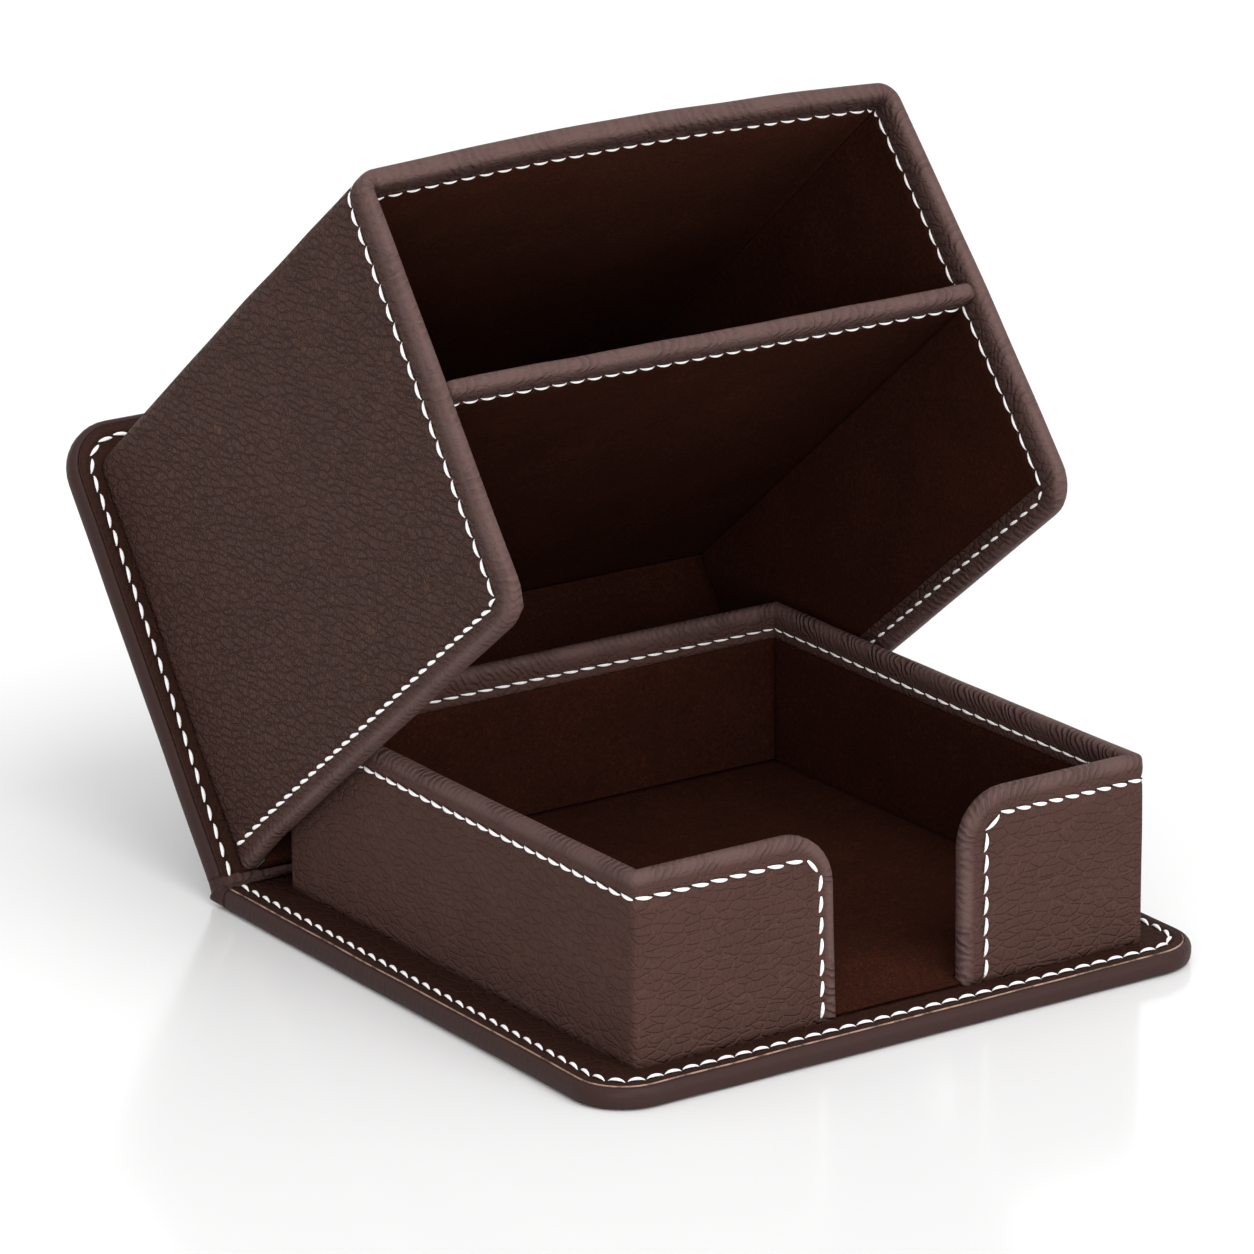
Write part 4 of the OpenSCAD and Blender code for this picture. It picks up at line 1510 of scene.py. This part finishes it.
@dataclass(frozen=True)
class MemoTray:
    """The open tray: one leather strip folded round, five suede linings and a raised floor.

    Fields:
        front, back, half: distance of its outer faces from the board's middle.
        foot, top: heights of its lower edge and its rim.
        notch_left, notch_right: the sides of the notch in its front.
        post: radius of the posts' top corners beside the notch.
        stitch, left_stitch, right_stitch: distance of the seam from the rim and the notch.
        clip: how far the seam cuts its corners across.
    """

    front: float = 60.5
    back: float = 62.0
    half: float = 59.0
    foot: float = 4.3
    top: float = 42.5
    wall: float = 3.2
    corner: float = 1.5
    notch_left: float = -14.2
    notch_right: float = 15.6
    post: float = 10.8
    stitch: float = 5.0
    left_stitch: float = 3.5
    right_stitch: float = 5.5
    turn_in: float = 7.0
    clip: float = 3.2
    floor_top: float = 9.4
    floor_slope: float = 10.0

    def surface(self) -> TraySurface:
        """Returns the wall's surface, from the notch's right side round to its left."""
        line = ((self.notch_right, -self.front), (self.half, -self.front),
                (self.half, self.back), (-self.half, self.back), (-self.half, -self.front),
                (self.notch_left, -self.front))
        return TraySurface(FoldedPath(line, self.corner), self.foot, self.top - self.foot)

    def build(self, wardrobe: Wardrobe) -> None:
        """Makes the wall, its linings, the floor and the stitches.

        Args:
            wardrobe: the finishes.
        """
        surface = self.surface()
        path = surface.path
        cut = Sheet(path.length(), surface.tall, self.post, margin=12.5, arc=7,
                    folds=path.folds(6))
        draft = Draft()
        section = WallSection(self.wall, self.stitch, self.turn_in)
        wrap_panel(draft, cut, section.stations(), surface, Ripple(0.05, 26, 5))
        dress(draft.build("tray_leather", [wardrobe.tray]), Slot.LEATHER, Body.BASE, "tray_cover")
        self.line_walls(surface, wardrobe)
        self.lay_floor(wardrobe)
        self.sew(surface, wardrobe)

    def line_walls(self, surface: TraySurface, wardrobe: Wardrobe) -> None:
        """Makes the five wall linings.

        Args:
            surface: where the pieces lie.
            wardrobe: the finishes.
        """
        end = surface.path.length()
        marks = [self.turn_in, *surface.path.middles(), end - self.turn_in]
        names = ("front_right", "right", "back", "left", "front_left")
        tall = self.top - self.turn_in - self.foot
        for name, low, high in zip(names, marks[:-1], marks[1:]):
            draft = Draft()
            lay_lining(draft, surface, (low + 0.06, high - 0.06), (0.3, tall - 0.05),
                       self.wall - 0.12, self.wall - 0.5, ripple=Ripple(0.03, 18, 11))
            dress(draft.build(f"tray_suede_{name}", [wardrobe.suede]),
                  Slot.SUEDE, Body.BASE, f"tray_{name}_lining")

    def floor_height(self, y: np.ndarray) -> np.ndarray:
        """Measures the raised floor, whose front slopes down to the notch.

        Args:
            y: distances behind the board's middle.

        Returns:
            Its heights.
        """
        start = self.wall - self.front
        share = np.clip((y - start + 1.5) / (self.floor_slope + 3), 0, 1)
        share = 1 - (1 - share) ** 1.7
        low = self.foot + 1.2
        return low + (self.floor_top - low) * share

    def lay_floor(self, wardrobe: Wardrobe) -> None:
        """Makes the suede over the raised floor and its tongue in the notch.

        Args:
            wardrobe: the finishes.
        """
        draft = Draft()
        inner = self.half - self.wall + 0.15
        lip = self.wall - self.front
        xs = np.unique(np.round(np.concatenate([
            np.linspace(-inner, inner, 60), [self.notch_left + 0.1, self.notch_right - 0.1]]), 3))
        level = lip + self.floor_slope + 4
        ys = np.concatenate([np.linspace(0.5 - self.front, lip, 4),
                             np.linspace(lip, level, 15)[1:],
                             np.linspace(level, self.back - self.wall + 0.15, 45)[1:]])
        x, y = np.meshgrid(xs, ys)
        shape = x.shape
        x, y = x.ravel(), y.ravel()
        z = self.floor_height(y) + Ripple(0.06, 30, 17)(x, y)
        sheet = np.column_stack([x, y, z])
        flat = np.zeros(len(x))
        upper = draft.add_points(np.column_stack([x, y, z]), sheet, flat).reshape(shape)
        lower = draft.add_points(np.column_stack([x, y, z - 0.55]), sheet, flat).reshape(shape)
        first = int(np.argmin(np.abs(xs - self.notch_left - 0.1)))
        last = int(np.argmin(np.abs(xs - self.notch_right + 0.1)))
        for side in (upper, lower):
            draft.add_grid(side[3:])
            draft.add_grid(side[:4, first:last + 1])
        rim = [upper[:4, last], upper[3, last:], upper[3:, -1], upper[-1, ::-1],
               upper[3:, 0][::-1], upper[3, :first + 1], upper[:4, first][::-1],
               upper[0, first:last + 1]]
        edge = np.concatenate(rim)
        draft.add_grid(np.stack([edge, edge + len(x)]))
        dress(draft.build("tray_floor_suede", [wardrobe.suede]),
              Slot.SUEDE, Body.BASE, "tray_floor_lining")

    def seam_line(self, length: float) -> tuple[tuple[float, float], ...]:
        """Draws the outer seam: up one side of the notch, round the tray, down the other.

        Args:
            length: the strip's length.

        Returns:
            The seam's corners, without those at the tray's own bends.
        """
        top, c = self.top - self.foot - self.stitch, self.clip
        right, left = self.right_stitch, length - self.left_stitch
        return ((right, 0.6), (right, top - c), (right + c, top), (left - c, top),
                (left, top - c), (left, 0.6))

    def sew(self, surface: TraySurface, wardrobe: Wardrobe) -> None:
        """Makes the tray's stitches.

        Args:
            surface: where the pieces lie.
            wardrobe: the finishes.
        """
        draft = Draft()
        line = self.seam_line(surface.path.length())
        corners = [(s, line[2][1]) for s in surface.path.middles()]
        outer = (*line[:3], *corners, *line[3:])
        NEEDLE.sew(draft, Seam(surface, outer))
        INNER_NEEDLE.sew(draft, Seam(surface, outer[1:-1], self.wall, inside=True))
        dress(draft.build("tray_stitches", [wardrobe.thread, wardrobe.hole]),
              Slot.THREAD, Body.BASE, "tray_thread")


@dataclass(frozen=True)
class LiftBox:
    """The box on the lid: sides and top in one folded leather strip, lined with suede.

    Fields:
        low_back, low_front, high_front, high_back: the side's corners in the lid's own frame,
            out from the lid (negative) and up from the hinge.
        mouth_corner, fold: radii of the mouth's lower corners and of the folds beside the top.
        clip: how far the seam cuts its corners across.
        narrowing, bow, sag, lean, skew, tuck, top_rim: as BoxSurface says.
        top_seam: how far the inner seam lies behind the outer one, at both ends of the top.
        left_seam, low_seam: distance of the seam from the left lower edge, and of the inner
            seam from the right one.
        divider_root, divider_mouth: height of the divider above the lower edges.
    """

    half: float = 64.5
    wall: float = 3.2
    low_back: tuple[float, float] = (-2.4, 2.4)
    low_front: tuple[float, float] = (-132.6, 4.6)
    high_front: tuple[float, float] = (-129.1, 98.6)
    high_back: tuple[float, float] = (-2.4, 93.6)
    mouth_corner: float = 8.2
    fold: float = 4.0
    stitch: float = 6.1
    turn_in: float = 6.8
    clip: float = 2.6
    back_board: float = 4.2
    narrowing: tuple[float, float] = (2.1, 2.8)
    bow: float = 2.2
    sag: float = 0.72
    lean: float = 0.4
    skew: tuple[float, float] = (0.4, 1.25)
    tuck: tuple[float, float] = (1.8, 0.35)
    top_rim: tuple[float, float] = (0.8, 0.1)
    top_seam: tuple[float, float] = (0.5, 1.3)
    left_seam: float = 5.6
    low_seam: float = 3.9
    divider_root: float = 46.9
    divider_mouth: float = 49.2

    def surface(self) -> BoxSurface:
        """Returns the wall's surface, from the right side's lower edge to the left side's."""
        corners = (self.low_back, self.low_front, self.high_front, self.high_back)
        tall = math.dist(self.low_front, self.high_front)
        depth = math.dist(self.low_back, self.low_front)
        line = ((self.half, 0.0), (self.half, tall), (-self.half, tall), (-self.half, 0.0))
        return BoxSurface(FoldedPath(line, self.fold), tall, depth, corners, self.narrowing,
                          self.bow, self.sag, self.lean, self.skew, self.tuck, self.top_rim,
                          self.wall)

    def build(self, wardrobe: Wardrobe) -> None:
        """Makes the wall, its boards, its linings and the stitches.

        Args:
            wardrobe: the finishes.
        """
        surface = self.surface()
        path = surface.path
        cut = Sheet(path.length(), surface.depth, self.mouth_corner, margin=13.0, arc=7,
                    folds=path.folds(5))
        draft = Draft()
        section = WallSection(self.wall, self.stitch, self.turn_in)
        wrap_panel(draft, cut, section.stations(), surface, Ripple(0.07, 34, 9), crease=0.4)
        dress(draft.build("box_leather", [wardrobe.leather]), Slot.LEATHER, Body.LID, "box_cover")
        self.fill_walls(surface, wardrobe)
        self.line_walls(surface, wardrobe)
        self.sew(surface, wardrobe)

    def sides(self, surface: BoxSurface, edge: float) -> list[tuple[str, float, float]]:
        """Shares the strip between the right side, the top and the left side.

        Args:
            surface: the wall's surface.
            edge: how far the sides stay from the lower edges.

        Returns:
            Name, first and last distance of each.
        """
        marks = [edge, *surface.path.middles(), surface.path.length() - edge]
        return list(zip(("right", "top", "left"), marks[:-1], marks[1:]))

    def fill_walls(self, surface: BoxSurface, wardrobe: Wardrobe) -> None:
        """Makes the stiff boards inside the leather, which follow its slight twist.

        Args:
            surface: where the pieces lie.
            wardrobe: the finishes.
        """
        for name, low, high in self.sides(surface, 3.4):
            draft = Draft()
            lay_lining(draft, surface, (low + 0.5, high - 0.5), (0.1, surface.depth - 3.9),
                       0.8, 2.2, pace=6.0)
            dress(draft.build(f"box_{name}_fibre_board", [wardrobe.board]),
                  Slot.BOARD, Body.LID, f"box_{name}_board")

    def line_walls(self, surface: BoxSurface, wardrobe: Wardrobe) -> None:
        """Makes the suede of the sides, the top and the back.

        Args:
            surface: where the pieces lie.
            wardrobe: the finishes.
        """
        for name, low, high in self.sides(surface, self.turn_in):
            draft = Draft()
            lay_lining(draft, surface, (low + 0.06, high - 0.06),
                       (0.2, surface.depth - self.turn_in - 0.05), self.wall - 0.1,
                       self.wall - 0.5, ripple=Ripple(0.04, 30, 21))
            # The top lining takes the lighter suede copy, painted light on the box's ceiling.
            nap = wardrobe.lit_top_suede if name == "top" else wardrobe.suede
            dress(draft.build(f"box_suede_{name}", [nap]),
                  Slot.SUEDE, Body.LID, f"box_{name}_lining")
        self.line_back(surface, wardrobe)

    def line_back(self, surface: BoxSurface, wardrobe: Wardrobe) -> None:
        """Makes the suede of the back, which wraps under the back board's lower edge.

        Args:
            surface: where the pieces lie.
            wardrobe: the finishes.
        """
        draft = Draft()
        inner = self.half - self.wall
        high = np.linspace(0.8, surface.tall - self.wall - 3.2, 34)
        face, glued = self.back_board + 0.6, self.back_board + 0.1
        outer_fold = ((-0.12, 0.1), (-0.12, 2.2), (-0.12, face - 0.9), (-0.08, face - 0.4),
                      (0.05, face - 0.1), (0.35, face))
        inner_fold = ((0.3, 0.1), (0.3, 2.2), (0.3, glued - 0.9), (0.34, glued - 0.5),
                      (0.42, glued - 0.15), (0.56, glued))
        layers = []
        for fold, flat, uneven in ((outer_fold, face, 0.05), (inner_fold, glued, 0.0)):
            lows, depths = np.array(fold).T
            x, z = np.meshgrid(np.linspace(-inner, inner, 50), np.concatenate([lows, high]))
            shape = x.shape
            x, z = x.ravel(), z.ravel()
            depth = np.repeat(np.concatenate([depths, np.full(len(high), flat)]), shape[1])
            depth = depth + Ripple(uneven, 30, 23)(x, z) * (z > 0.5)
            points = surface.seat(x, z / surface.tall, depth / surface.depth) + self.below(z)
            sheet = np.column_stack([x, z, depth])
            layers.append(draft.add_points(points, sheet, np.zeros(len(x))).reshape(shape))
            draft.add_grid(layers[-1])
        draft.join_rims(*layers)
        dress(draft.build("box_suede_back", [wardrobe.suede]),
              Slot.SUEDE, Body.LID, "box_back_lining")

    def below(self, z: np.ndarray) -> np.ndarray:
        """Moves points that lie under the back board's lower edge straight down.

        Args:
            z: heights above the sides' lower edge.

        Returns:
            The shift of each point, none where the height isn't negative.
        """
        zero = np.zeros(len(z))
        shift = lid_to_world(zero, zero, np.minimum(z, 0.0))
        return shift - lid_to_world(zero, zero, zero)

    def sew(self, surface: BoxSurface, wardrobe: Wardrobe) -> None:
        """Makes the box's stitches.

        Args:
            surface: where the pieces lie.
            wardrobe: the finishes.
        """
        draft = Draft()
        length, depth, d, c = surface.path.length(), surface.depth, self.stitch, self.clip
        bends, low, left = surface.path.middles(), self.low_seam, length - self.left_seam
        outer = ((d, 1.0), (d, depth - d - c), (d + c * 0.55, depth - d),
                 *((s, depth - d) for s in bends),
                 (left - c * 0.55, depth - d), (left, depth - d - c), (left, 1.0))
        NEEDLE.sew(draft, Seam(surface, outer))
        inner = ((low, 6.0), (low, depth - d - c), (low + c * 0.7, depth - d),
                 *((s, depth - d - more) for s, more in zip(bends, self.top_seam)),
                 *outer[-3:-1], (left, 6.0))
        INNER_NEEDLE.sew(draft, Seam(surface, inner, self.wall, inside=True))
        dress(draft.build("box_stitches", [wardrobe.thread, wardrobe.hole]),
              Slot.THREAD, Body.LID, "box_thread")


@dataclass(frozen=True)
class BoxDivider:
    """The shelf across the box: a board in suede with a leather-wrapped front edge.

    Fields:
        front: depth of the part of the leather that rolls round the edge.
        corner_reach, corner_drop: length and depth of the edge's rounded ends.
    """

    box: LiftBox
    thickness: float = 3.2
    stitch: float = 6.1
    turn_in: float = 6.8
    front: float = 2.4
    corner_reach: float = 1.6
    corner_drop: float = 1.1

    def surface(self) -> DividerSurface:
        """Returns the shelf's surface."""
        box = self.box.surface()
        width = 2 * (self.box.half - self.box.wall) + 0.5
        return DividerSurface(box, width, box.depth, self.box.divider_root,
                              self.box.divider_mouth)

    def section(self) -> list[tuple[float, float]]:
        """Returns the leather's section: distance in from the edge and depth from the top."""
        t, at, end = self.thickness, self.stitch, self.turn_in
        bar = [(end + 1.2, 0.45), (end + 0.02, 0.45), (end, 0.15), (end - 0.15, 0.03),
               (at + 0.4, 0.2), (at, 0.27), (at - 0.4, 0.2), (at - 0.9, 0.05),
               (at - 1.8, -0.03), (t / 2 + 0.6, -0.04)]
        return bar + rolled_edge(t) + [(d, t - h) for d, h in reversed(bar)]

    def build(self, wardrobe: Wardrobe) -> None:
        """Makes the leather edge, both linings, the board and the stitches.

        Args:
            wardrobe: the finishes.
        """
        surface = self.surface()
        self.wrap_edge(surface, wardrobe)
        self.line_faces(surface, wardrobe)
        self.sew(surface, wardrobe)

    def wrap_edge(self, surface: DividerSurface, wardrobe: Wardrobe) -> None:
        """Makes the leather round the front edge.

        Args:
            surface: where the pieces lie.
            wardrobe: the finishes.
        """
        width, depth, profile = surface.width, surface.depth, self.section()
        draft = Draft()
        s = np.linspace(0, width, 90)
        flat = np.ones(len(s))
        walk = np.concatenate([[0], np.cumsum(np.hypot(*np.diff(np.array(profile).T)))])
        wave = Ripple(0.06, 22, 31)
        ease = np.clip(np.minimum(s, width - s) / self.corner_reach, 0, 1)
        drop = self.corner_drop * (1 - np.sqrt(1 - (1 - ease) ** 2))
        rows = []
        for (d, h), at in zip(profile, walk):
            rolled = d < self.front
            v = depth - d - drop * rolled + wave(s, d * flat) * 0.5
            points = surface.place(s, v, h * flat + wave(s, v))
            sheet = np.column_stack([s, at * flat, h * flat])
            rows.append(draft.add_points(points, sheet, (1.0 if rolled else 0.45) * flat))
        rows = np.array(rows)
        draft.add_grid(rows)
        draft.add_grid(np.stack([rows[-1], rows[0]]))
        draft.add_face(list(rows[:, 0]))
        draft.add_face(list(rows[:, -1]))
        dress(draft.build("divider_leather", [wardrobe.leather]),
              Slot.LEATHER, Body.LID, "divider_cover")

    def line_faces(self, surface: DividerSurface, wardrobe: Wardrobe) -> None:
        """Makes the suede of both faces and the stiff board between them.

        Args:
            surface: where the pieces lie.
            wardrobe: the finishes.
        """
        width, depth, t = surface.width, surface.depth, self.thickness
        root = self.box.back_board + 0.5
        span = (root, depth - self.turn_in - 0.05)
        for name, face, back in (("upper", 0.08, 0.55), ("lower", t - 0.08, t - 0.55)):
            draft = Draft()
            lay_lining(draft, surface, (0.0, width), span, face, back,
                       ripple=Ripple(0.04, 26, 41))
            dress(draft.build(f"divider_suede_{name}", [wardrobe.suede]),
                  Slot.SUEDE, Body.LID, f"divider_{name}_lining")
        draft = Draft()
        lay_lining(draft, surface, (0.3, width - 0.3), (root, depth - 1.4), 0.6, t - 0.6,
                   pace=6.0)
        dress(draft.build("divider_fibre_board", [wardrobe.board]),
              Slot.BOARD, Body.LID, "divider_board")

    def sew(self, surface: DividerSurface, wardrobe: Wardrobe) -> None:
        """Makes the divider's stitches.

        Args:
            surface: where the pieces lie.
            wardrobe: the finishes.
        """
        draft = Draft()
        up = surface.depth - self.stitch
        line = ((1.2, up), (surface.width - 1.2, up))
        NEEDLE.sew(draft, Seam(surface, line))
        INNER_NEEDLE.sew(draft, Seam(surface, line, self.thickness, inside=True))
        dress(draft.build("divider_stitches", [wardrobe.thread, wardrobe.hole]),
              Slot.THREAD, Body.LID, "divider_thread")


def hump(u: float, middle: float, reach: float) -> float:
    """Returns the height at u of a bell curve whose top is 1."""
    return math.exp(-((u - middle) / reach) ** 2)


@dataclass(frozen=True)
class HingeLeather:
    """The folded leather that joins both boards, folded at the lid's angle.

    Fields:
        base_end, base_t: end and thickness of the lower board's leather.
        lid_end, lid_outer, lid_t: the same of the lid's, in the lid's own frame.
        bend, inner_bend: radii of the fold's outer and inner side.
        stations: number of lines from board to board.
        swell, puff: how far the fold widens on both sides, and bulges at its left end.
        crumple: height of its wrinkles.
    """

    width: float = 140.9
    shift: float = -0.4
    base_end: float = 68.5
    base_t: float = 4.4
    lid_end: float = 2.6
    lid_outer: float = 2.2
    lid_t: float = 4.6
    bend: float = 3.6
    inner_bend: float = 0.7
    stations: int = 17
    swell: float = 0.6
    puff: float = 0.9
    crumple: float = 0.16

    def edges(self) -> tuple[np.ndarray, np.ndarray]:
        """Returns the fold's outer and inner lines in side view, from the base to the lid."""
        ends = lid_to_world(np.zeros(2), np.array([self.lid_outer, self.lid_outer - self.lid_t]),
                            np.full(2, self.lid_end))[:, 1:]
        up = np.array([math.sin(LID_TILT), math.cos(LID_TILT)])
        lines = []
        for start, end, radius in (((self.base_end, 0.0), ends[0], self.bend),
                                   ((self.base_end, self.base_t), ends[1],
                                    self.inner_bend)):
            reach = (end[1] - start[1]) / up[1]
            corner = end - reach * up
            trim = radius * math.tan((math.pi / 2 - LID_TILT) / 2)
            first = corner - np.array([trim, 0.0])
            centre = first + np.array([0.0, radius])
            turn = np.linspace(0, math.pi / 2 - LID_TILT, self.stations - 6)
            arc = centre + radius * np.column_stack([np.sin(turn), -np.cos(turn)])
            lead = np.linspace(np.array(start) - [0.3, 0], first, 4)[:-1]
            tail = np.linspace(arc[-1], end + 0.3 * up, 4)[1:]
            lines.append(np.concatenate([lead, arc, tail]))
        return lines[0], lines[1]

    def build(self, wardrobe: Wardrobe) -> None:
        """Makes the fold.

        Args:
            wardrobe: the finishes.
        """
        outer, inner = self.edges()
        side = [(1.7, 0.02), (0.9, 0.05), (0.35, 0.14), (0.06, 0.28), (0.0, 0.45),
                (0.06, 0.7), (0.38, 0.85), (0.9, 0.95), (1.7, 1.0)]
        xs = np.linspace(3, self.width - 3, 110)
        loop = np.array([(d, h) for d, h in side] + [(x, 1.0) for x in xs]
                        + [(self.width - d, h) for d, h in reversed(side)]
                        + [(x, 0.0) for x in xs[::-1]])
        draft = Draft()
        rows = []
        count = len(outer)
        for n in range(count):
            u = n / (count - 1)
            middle = math.sin(math.pi * u)
            share = loop[:, 1][:, None]
            line = outer[n] + share * (inner[n] - outer[n])
            swell = self.swell * hump(u, 0.6, 0.2)
            x = (loop[:, 0] - self.width / 2) * (1 + 2 * swell / self.width) + self.shift
            wrinkle = Ripple(self.crumple * middle, 9, 51 + n % 3)
            fold = wrinkle(loop[:, 0], np.full(len(loop), 4.0 * u))
            away = outer[n] - inner[n]
            away /= np.linalg.norm(away)
            line = line + np.outer(fold * np.where(loop[:, 1] > 0.5, 1.0, 0.35), away)
            puff = self.puff * hump(u, 0.62, 0.17)
            line[:, 0] += puff * (1 - loop[:, 1]) * (1 - np.clip(loop[:, 0] - 6, 0, 12) / 18)
            sheet = np.column_stack([loop[:, 0], np.full(len(loop), 8.0 * u), loop[:, 1]])
            mask = np.full(len(loop), 0.9)
            rows.append(draft.add_points(np.column_stack([x, line]), sheet, mask))
        rows = np.array(rows)
        inside = slice(len(side) - 1, len(side) + len(xs) + 1)
        turned = np.column_stack([rows, rows[:, :1]])
        # The fold's inner side, in the gap under the box, takes the darker top-sheet leather as
        # painted shade.
        draft.add_grid(turned[:, inside], 1)
        draft.add_grid(turned[:, :len(side)])
        draft.add_grid(turned[:, inside.stop - 1:])
        draft.add_face(list(rows[0]))
        draft.add_face(list(rows[-1]))
        piece = draft.build("hinge_leather", [wardrobe.edge, wardrobe.top])
        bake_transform(piece)
        dress(piece, Slot.LEATHER, None, "spine")


@dataclass(frozen=True)
class StiffBoards:
    """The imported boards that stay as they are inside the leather."""

    nodes: tuple[str, ...] = ("base_board", "tray_left_board", "tray_right_board",
                              "tray_back_board", "tray_front_left_board",
                              "tray_front_right_board", "tray_floor_board", "lid_board",
                              "box_back_board")

    def build(self, wardrobe: Wardrobe) -> None:
        """Gives each board its finish.

        Args:
            wardrobe: the finishes.
        """
        for name in self.nodes:
            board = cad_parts[name]
            board.data.materials.clear()
            board.data.materials.append(wardrobe.board)
            log.info("board %s keeps its shape", name)


@dataclass(frozen=True)
class Lamp:
    """A far soft lamp that shines on the organizer.

    Fields:
        place: where it hangs, in metres.
        spread: how wide it looks, in degrees.
        power: its strength.
    """

    name: str
    place: tuple[float, float, float]
    spread: float
    power: float

    def hang(self) -> None:
        """Makes the lamp, aimed at the lower board's middle."""
        data = bpy.data.lights.new(self.name, "SUN")
        data.angle = math.radians(self.spread)
        data.energy = self.power
        lamp = bpy.data.objects.new(self.name, data)
        lamp.location = self.place
        lamp.rotation_euler = (-lamp.location).to_track_quat("-Z", "Y").to_euler()
        bpy.context.scene.collection.objects.link(lamp)


@dataclass(frozen=True)
class Studio:
    """The camera of the photograph, a pale floor and soft light.

    Fields:
        eye: the camera's place in metres.
        azimuth, pitch, roll: its direction, in degrees.
        sensor: width of its sensor.
        floor_half: half the floor's side in metres.
        floor_z: height of the floor, just under the organizer.
        room: strength of the light that the white surroundings throw.
    """

    eye: tuple[float, float, float] = (-0.68835, -1.0068, 0.44867)
    azimuth: float = 33.60
    pitch: float = -17.53
    roll: float = -0.65
    sensor: float = 36.0
    floor_half: float = 6.0
    floor_z: float = -0.0002
    room: float = 0.55
    lamps: tuple[Lamp, ...] = (
        Lamp("overhead", (0.15, -0.95, 1.1), 50, 1.6),
        Lamp("front_left", (-0.8, -0.95, 0.12), 50, 1.7),
        Lamp("front_right", (0.45, -1.0, 0.03), 40, 0.72),
        Lamp("top", (0.1, 0.2, 1.4), 60, 0.4))

    def build(self) -> None:
        """Makes the camera, the floor, the lamps and the world."""
        self.place_camera()
        self.lay_floor()
        self.hang_lamps()
        self.fill_world()
        bpy.context.scene.view_settings.view_transform = "Standard"

    def place_camera(self) -> None:
        """Makes the camera."""
        a, e, g = (math.radians(v) for v in (self.azimuth, self.pitch, self.roll))
        forward = np.array([math.sin(a) * math.cos(e), math.cos(a) * math.cos(e), math.sin(e)])
        right = np.array([math.cos(a), -math.sin(a), 0.0])
        up = np.cross(right, forward)
        right, up = (math.cos(g) * right + math.sin(g) * up,
                     -math.sin(g) * right + math.cos(g) * up)
        data = bpy.data.cameras.new("photo_camera")
        data.sensor_width = self.sensor
        data.lens = FOCAL * self.sensor / IMAGE_SIDE
        data.clip_start, data.clip_end = 0.01, 20.0
        camera = bpy.data.objects.new("photo_camera", data)
        camera.matrix_world = Matrix([
            (right[0], up[0], -forward[0], self.eye[0]),
            (right[1], up[1], -forward[1], self.eye[1]),
            (right[2], up[2], -forward[2], self.eye[2]),
            (0.0, 0.0, 0.0, 1.0)])
        bpy.context.scene.collection.objects.link(camera)
        bpy.context.scene.camera = camera

    def lay_floor(self) -> None:
        """Makes the floor."""
        mesh = bpy.data.meshes.new("floor")
        half, z = self.floor_half, self.floor_z
        mesh.from_pydata([(-half, -half, z), (half, -half, z), (half, half, z), (-half, half, z)],
                         [], [(0, 1, 2, 3)])
        floor = bpy.data.objects.new("floor", mesh)
        sheet = MaterialSheet("pale_table")
        grain = sheet.add("TexNoise", {"Scale": 3.0, "Detail": 2.0}).outputs["Fac"]
        pale = sheet.mix(grain, opaque((0.97,) * 3), opaque((0.98,) * 3))
        sheet.feed("Base Color", sheet.mix(sheet.seen(), opaque((0.75,) * 3), pale))
        sheet.feed("Roughness", 0.16)
        mesh.materials.append(sheet.material)
        bpy.context.scene.collection.objects.link(floor)

    def hang_lamps(self) -> None:
        """Hangs the lamps."""
        for lamp in self.lamps:
            lamp.hang()

    def fill_world(self) -> None:
        """Makes the white surroundings, plain white only for the camera and mirrors."""
        world = bpy.data.worlds.new("soft_room")
        bpy.context.scene.world = world
        world.use_nodes = True
        sheet = NodeSheet(world.node_tree)
        back = next(n for n in world.node_tree.nodes if n.type == "BACKGROUND")
        strength = sheet.math("MULTIPLY_ADD", sheet.seen(), 1 - self.room, self.room)
        back.inputs["Color"].default_value = (1.0, 1.0, 1.0, 1.0)
        sheet.tree.links.new(strength, back.inputs["Strength"])


def main() -> None:
    """Builds the dressed organizer and its studio."""
    logging.basicConfig(level=logging.INFO, format="%(message)s")
    Studio().build()
    wardrobe = Wardrobe()
    StiffBoards().build(wardrobe)
    base = PlateSurface(width=140.0, on_lid=False, root=68.5, outer=0.0)
    CoveredPlate("base", Body.BASE, base, length=137.0, thickness=4.4).build(wardrobe)
    MemoTray().build(wardrobe)
    lid = PlateSurface(width=140.0, on_lid=True, root=2.6, outer=2.2)
    CoveredPlate("lid", Body.LID, lid, length=98.4, thickness=4.6, seam_end=(2.85, -0.5),
                 seed=2).build(wardrobe)
    box = LiftBox()
    box.build(wardrobe)
    BoxDivider(box).build(wardrobe)
    HingeLeather().build(wardrobe)


if __name__ == "__main__":
    main()
